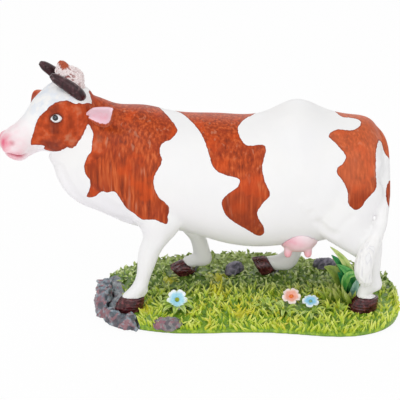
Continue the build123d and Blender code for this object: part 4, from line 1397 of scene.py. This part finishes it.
def rockPaint(name, base, light, spot, spotShare, creviceShade):
    paint = Paint(name, 0.5, 0.05)
    grain = paint.speckle(0.35, 4)
    spots = paint.step(paint.speckle(0.32, 4) + paint.value("outer") * 0.12, 0.95 - spotShare, 1.12 - spotShare)
    paint.colour(paint.over(
        paint.ramp(grain, (0.35, *base), (0.65, *light)),
        (spots * 0.7, spot),
        (paint.step(paint.speckle(0.12, 2), 0.5, 0.64) * 0.5, base),
        # Painted shade in the crevices
        (paint.step(paint.value("crag"), -0.05, -0.6) * 0.8, creviceShade),
    ))
    paint.relief(grain, 0.5)
    return paint


def buildRocks():
    for index, (node, (name, paintName, voxel, depth, size, *colours)) in enumerate(rocks.items()):
        piece = evenCopy(name, [node], voxel, 2)
        points, normals = pointsOf(piece), normalsOf(piece)
        crag = 1 - abs(lumps(points, size, index)) * 5 + lumps(points, size * 0.4, index + 4) * 0.8
        points = raised(points, normals, (crag - 0.4) * depth * 0.7 * ramped(points[:, 2], 0.6, 2))
        movePoints(piece, np.clip(points, cadLow, cadHigh))
        keepValues(piece, crag=crag, outer=np.clip(-normals[:, 1] * 0.6 - normals[:, 0] * 0.5, 0, 1))
        finished(piece, rockPaint(paintName, *colours), [node], 70)
    print("rocks done")


buildRocks()

# Flowers: cupped petals round a domed centre

flowers = {
    "petals": 5,
    "petalLength": 8.0,
    # Slot, heart, size, turn and tilt, then the petal's rim, middle and root colours and the centre's two
    "kinds": {
        "front_blue_flower": (
            "blue_petal", (-17.31, -20.14, 15.18), 1.04, 128, 60,
            (246, 252, 254), (166, 222, 246), (126, 200, 238), (178, 186, 44), (126, 150, 34),
        ),
        "orange_flower": (
            "orange_petal", (69.4, -16.2, 15.6), 0.94, 130, 34,
            (254, 240, 236), (246, 178, 156), (238, 104, 52), (236, 104, 34), (248, 150, 70),
        ),
        "rear_blue_flower": (
            "blue_petal", (83.6, -22.8, 14.4), 0.84, 112, 22,
            (236, 248, 252), (150, 214, 244), (104, 188, 232), (160, 190, 110), (90, 146, 140),
        ),
    },
}


def buildFlower(name, slot, heart, size, turn, tilt, rim, middle, root, eye, eyeRing):
    lean = math.radians(tilt)
    ways = np.array(((1, 0, 0), (0, math.cos(lean), math.sin(lean)), (0, -math.sin(lean), math.cos(lean))))
    points, faces = leafPattern(12, 12)
    x, y, z = points.T
    swell = np.interp(y, (0, 0.12, 0.35, 0.6, 0.8, 0.92, 1), (0.3, 0.44, 0.76, 1.0, 0.92, 0.64, 0.16))
    x = x * (swell * 0.98)
    notch = 0.09 * np.exp(-(x / 0.16) ** 2) * ramped(y, 0.7, 0.3)
    shape = np.stack((x, y - notch, z + 0.16 * np.sin(y * 2.6) + 0.5 * x ** 2 * y), 1)
    placed = []
    radius = flowers["petalLength"] * size
    for step in range(flowers["petals"]):
        angle = math.radians(turn + 72 * step - 90)
        spin = np.array(((math.cos(angle), math.sin(angle), 0), (-math.sin(angle), math.cos(angle), 0), (0, 0, 1)))
        local = shape * radius * (0.88, 0.98, 1) + (0, radius * 0.04, 0.12 * step)
        placed.append(np.array(heart) + (local @ spin) @ ways)
    petals = copiesOf(name + "Corolla", faces, placed)
    across = abs(x) / np.maximum(swell, 0.05)
    keepValues(petals, rise=np.tile(y, len(placed)), across=np.tile(across, len(placed)))
    finishWith(petals, "SUBSURF", levels=1, render_levels=1)
    paint = Paint(name + "Paint", 0.35, 0.25)
    streak = (paint.speckle(0.8, 2) - 0.5) * 0.3
    out = paint.value("rise") + paint.value("across") * 0.45 + streak * 0.6
    paint.colour(paint.ramp(out, (0.1, *root), (0.34, *middle), (0.55, *middle), (0.86, *rim)))
    paint.relief(paint.speckle(1.0, 2), 0.1)
    finished(petals, paint, [name + "_petals"])

    centre = madeBy(bpy.ops.mesh.primitive_uv_sphere_add, name + "Heart", segments=20, ring_count=12, radius=1)
    ball = pointsOf(centre) * mm
    bead = 1 + 0.12 * lumps(ball, 0.22)
    local = ball * bead[:, None] * (radius * 0.2, radius * 0.2, radius * 0.16) + (0, 0, radius * 0.16)
    movePoints(centre, np.array(heart) + local @ ways)
    paint = Paint(name + "HeartPaint", 0.45, 0.1)
    paint.colour(paint.mix(paint.step(paint.speckle(1.4, 2), 0.4, 0.6), eye, eyeRing))
    paint.relief(paint.speckle(1.6, 2), 0.15)
    finished(centre, paint, [name + "_centre"])
    print(name, len(petals.data.polygons))


for flowerName, flower in flowers["kinds"].items():
    buildFlower(flowerName, *flower)

# Plant beside the rear leg: broad curved leaves

plant = {
    # Each leaf: its spine from the crown to the tip, half width, way its face looks, dark and light green
    "leaves": [
        ([(114, -13, 13), (119, -14, 30), (112, -15.5, 46), (97.5, -16.5, 57)], 3.2, (-0.3, -1, 0.4),
         (146, 182, 78), (216, 230, 150)),
        ([(113, -12, 13), (117, -12.5, 26), (110, -14, 40), (99, -14.5, 49.5)], 3.9, (-0.2, -1, 0.5),
         (10, 98, 46), (44, 142, 74)),
        ([(114, -13, 13), (119, -16, 24), (116, -17.5, 37), (103, -17.5, 43)], 4.4, (-0.2, -0.9, 0.7),
         (28, 124, 60), (104, 180, 94)),
        ([(110, -15, 13), (107, -18, 30), (111, -20.5, 42), (122, -21, 33)], 3.2, (0.2, -0.8, 0.9),
         (60, 140, 58), (138, 192, 98)),
        ([(110, -11.5, 13), (110, -11.5, 28), (103, -11.5, 37), (94, -11.5, 38.5)], 5.0, (-0.2, -1, 0.5),
         (96, 122, 38), (142, 162, 70)),
        ([(113, -13, 12), (115, -14, 20), (111, -14.5, 30), (104, -15, 35.5)], 4.6, (-0.2, -1, 0.4),
         (10, 84, 40), (26, 118, 60)),
        ([(111, -13, 12), (113, -14, 19), (114.5, -14.5, 26), (117, -15, 34)], 5.0, (0, -1, 0.3),
         (12, 80, 38), (26, 112, 56)),
        ([(114.5, -16, 13), (116.5, -19, 20), (118, -20.5, 27), (118.8, -21, 33)], 3.0, (-0.3, -1, 0.4),
         (96, 140, 128), (150, 186, 168)),
    ],
}


def buildLeaf(index, spine, half, facing, dark, light):
    leaf = flatLeaf("plantLeaf" + str(index), 8, 18)
    x, y, _ = (pointsOf(leaf) * mm).T
    a, b, c, d = np.array(spine, float)
    t = y[:, None]
    line = a * (1 - t) ** 3 + 3 * b * t * (1 - t) ** 2 + 3 * c * t * t * (1 - t) + d * t ** 3
    way = unit(-3 * a * (1 - t) ** 2 + 3 * b * (1 - 4 * t + 3 * t * t) + 3 * c * (2 * t - 3 * t * t) + 3 * d * t * t)
    across = unit(np.cross(way, np.array(facing, float)))
    front = np.cross(across, way)
    swell = np.interp(y, (0, 0.15, 0.45, 0.7, 0.88, 1), (0.28, 0.6, 1, 0.86, 0.45, 0.05))
    cup = 0.34 * half * (2 * abs(x)) ** 1.5 * swell
    movePoints(leaf, line + across * (2 * x * swell * half)[:, None] + front * cup[:, None])
    keepValues(leaf, across=2 * abs(x), rise=y)
    finishWith(leaf, "SOLIDIFY", thickness=0.9 * mm, offset=0)
    finishWith(leaf, "SUBSURF", levels=1, render_levels=1)
    paint = Paint("plantLeafPaint" + str(index), 0.35, 0.25)
    veins = paint.step(paint.speckle(0.4, 2, (1, 1, 0.4)), 0.42, 0.6)
    tone = paint.step(paint.value("across") * 0.5 + paint.value("rise") * 0.6 + (veins - 0.5) * 0.25, 0.2, 0.95)
    green = paint.mix(tone, dark, light)
    paint.colour(paint.mix(paint.step(paint.value("across"), 0.14, 0.02) * 0.5, green, dark))
    paint.relief(veins, 0.12)
    finished(leaf, paint, ["leaf_plant"])
    print(leaf.name, len(leaf.data.polygons))


for leafIndex, leafValues in enumerate(plant["leaves"]):
    buildLeaf(leafIndex, *leafValues)

# Strands of grass that hide the foot of the plant: first and last root, how many, shortest and longest

strands = {
    "from": (97, -18, 13),
    "to": (116, -20.5, 13),
    "count": 26,
    "length": (9, 19),
    "width": 1.7,
    # strength of the painted shade on the strands, strongest at their roots
    "dusk": 1.6,
}


def buildStrands():
    points, faces = smallLeaf
    x, y, z = points.T
    dice = np.random.default_rng(31)
    placed = []
    for share in np.linspace(0, 1, strands["count"]):
        root = np.array(strands["from"]) * (1 - share) + np.array(strands["to"]) * share
        root = root + (dice.normal(0, 0.6), dice.uniform(-3, 2), 0)
        length = dice.uniform(*strands["length"])
        lean = dice.normal(-0.25, 0.25)
        way = unit(np.array((lean, -0.25, 1)))
        across = unit(np.cross(way, (0, -1, 0.2)))
        width = strands["width"] * (1 + 0.4 * dice.random())
        placed.append(spread(
            root, (y * length, way), (x * width, across), (z * width, np.cross(across, way)),
            (y * y * length * lean * 0.5, (1, 0, 0)),
        ))
    piece = copiesOf("plantStrands", faces, placed)
    count = len(placed)
    # The strands carry the grass's painted shade, strongest at their roots
    keepValues(
        piece, rise=np.tile(y, count), tone=np.repeat(dice.random(count), len(y)),
        far=np.full(count * len(y), 0.45), dusk=np.tile(strands["dusk"] * (1 - y * 0.5), count),
    )
    paint, _ = grassPaint("strandPaint")
    finished(piece, paint, angle=60)
    print("strands", len(piece.data.polygons))


buildStrands()
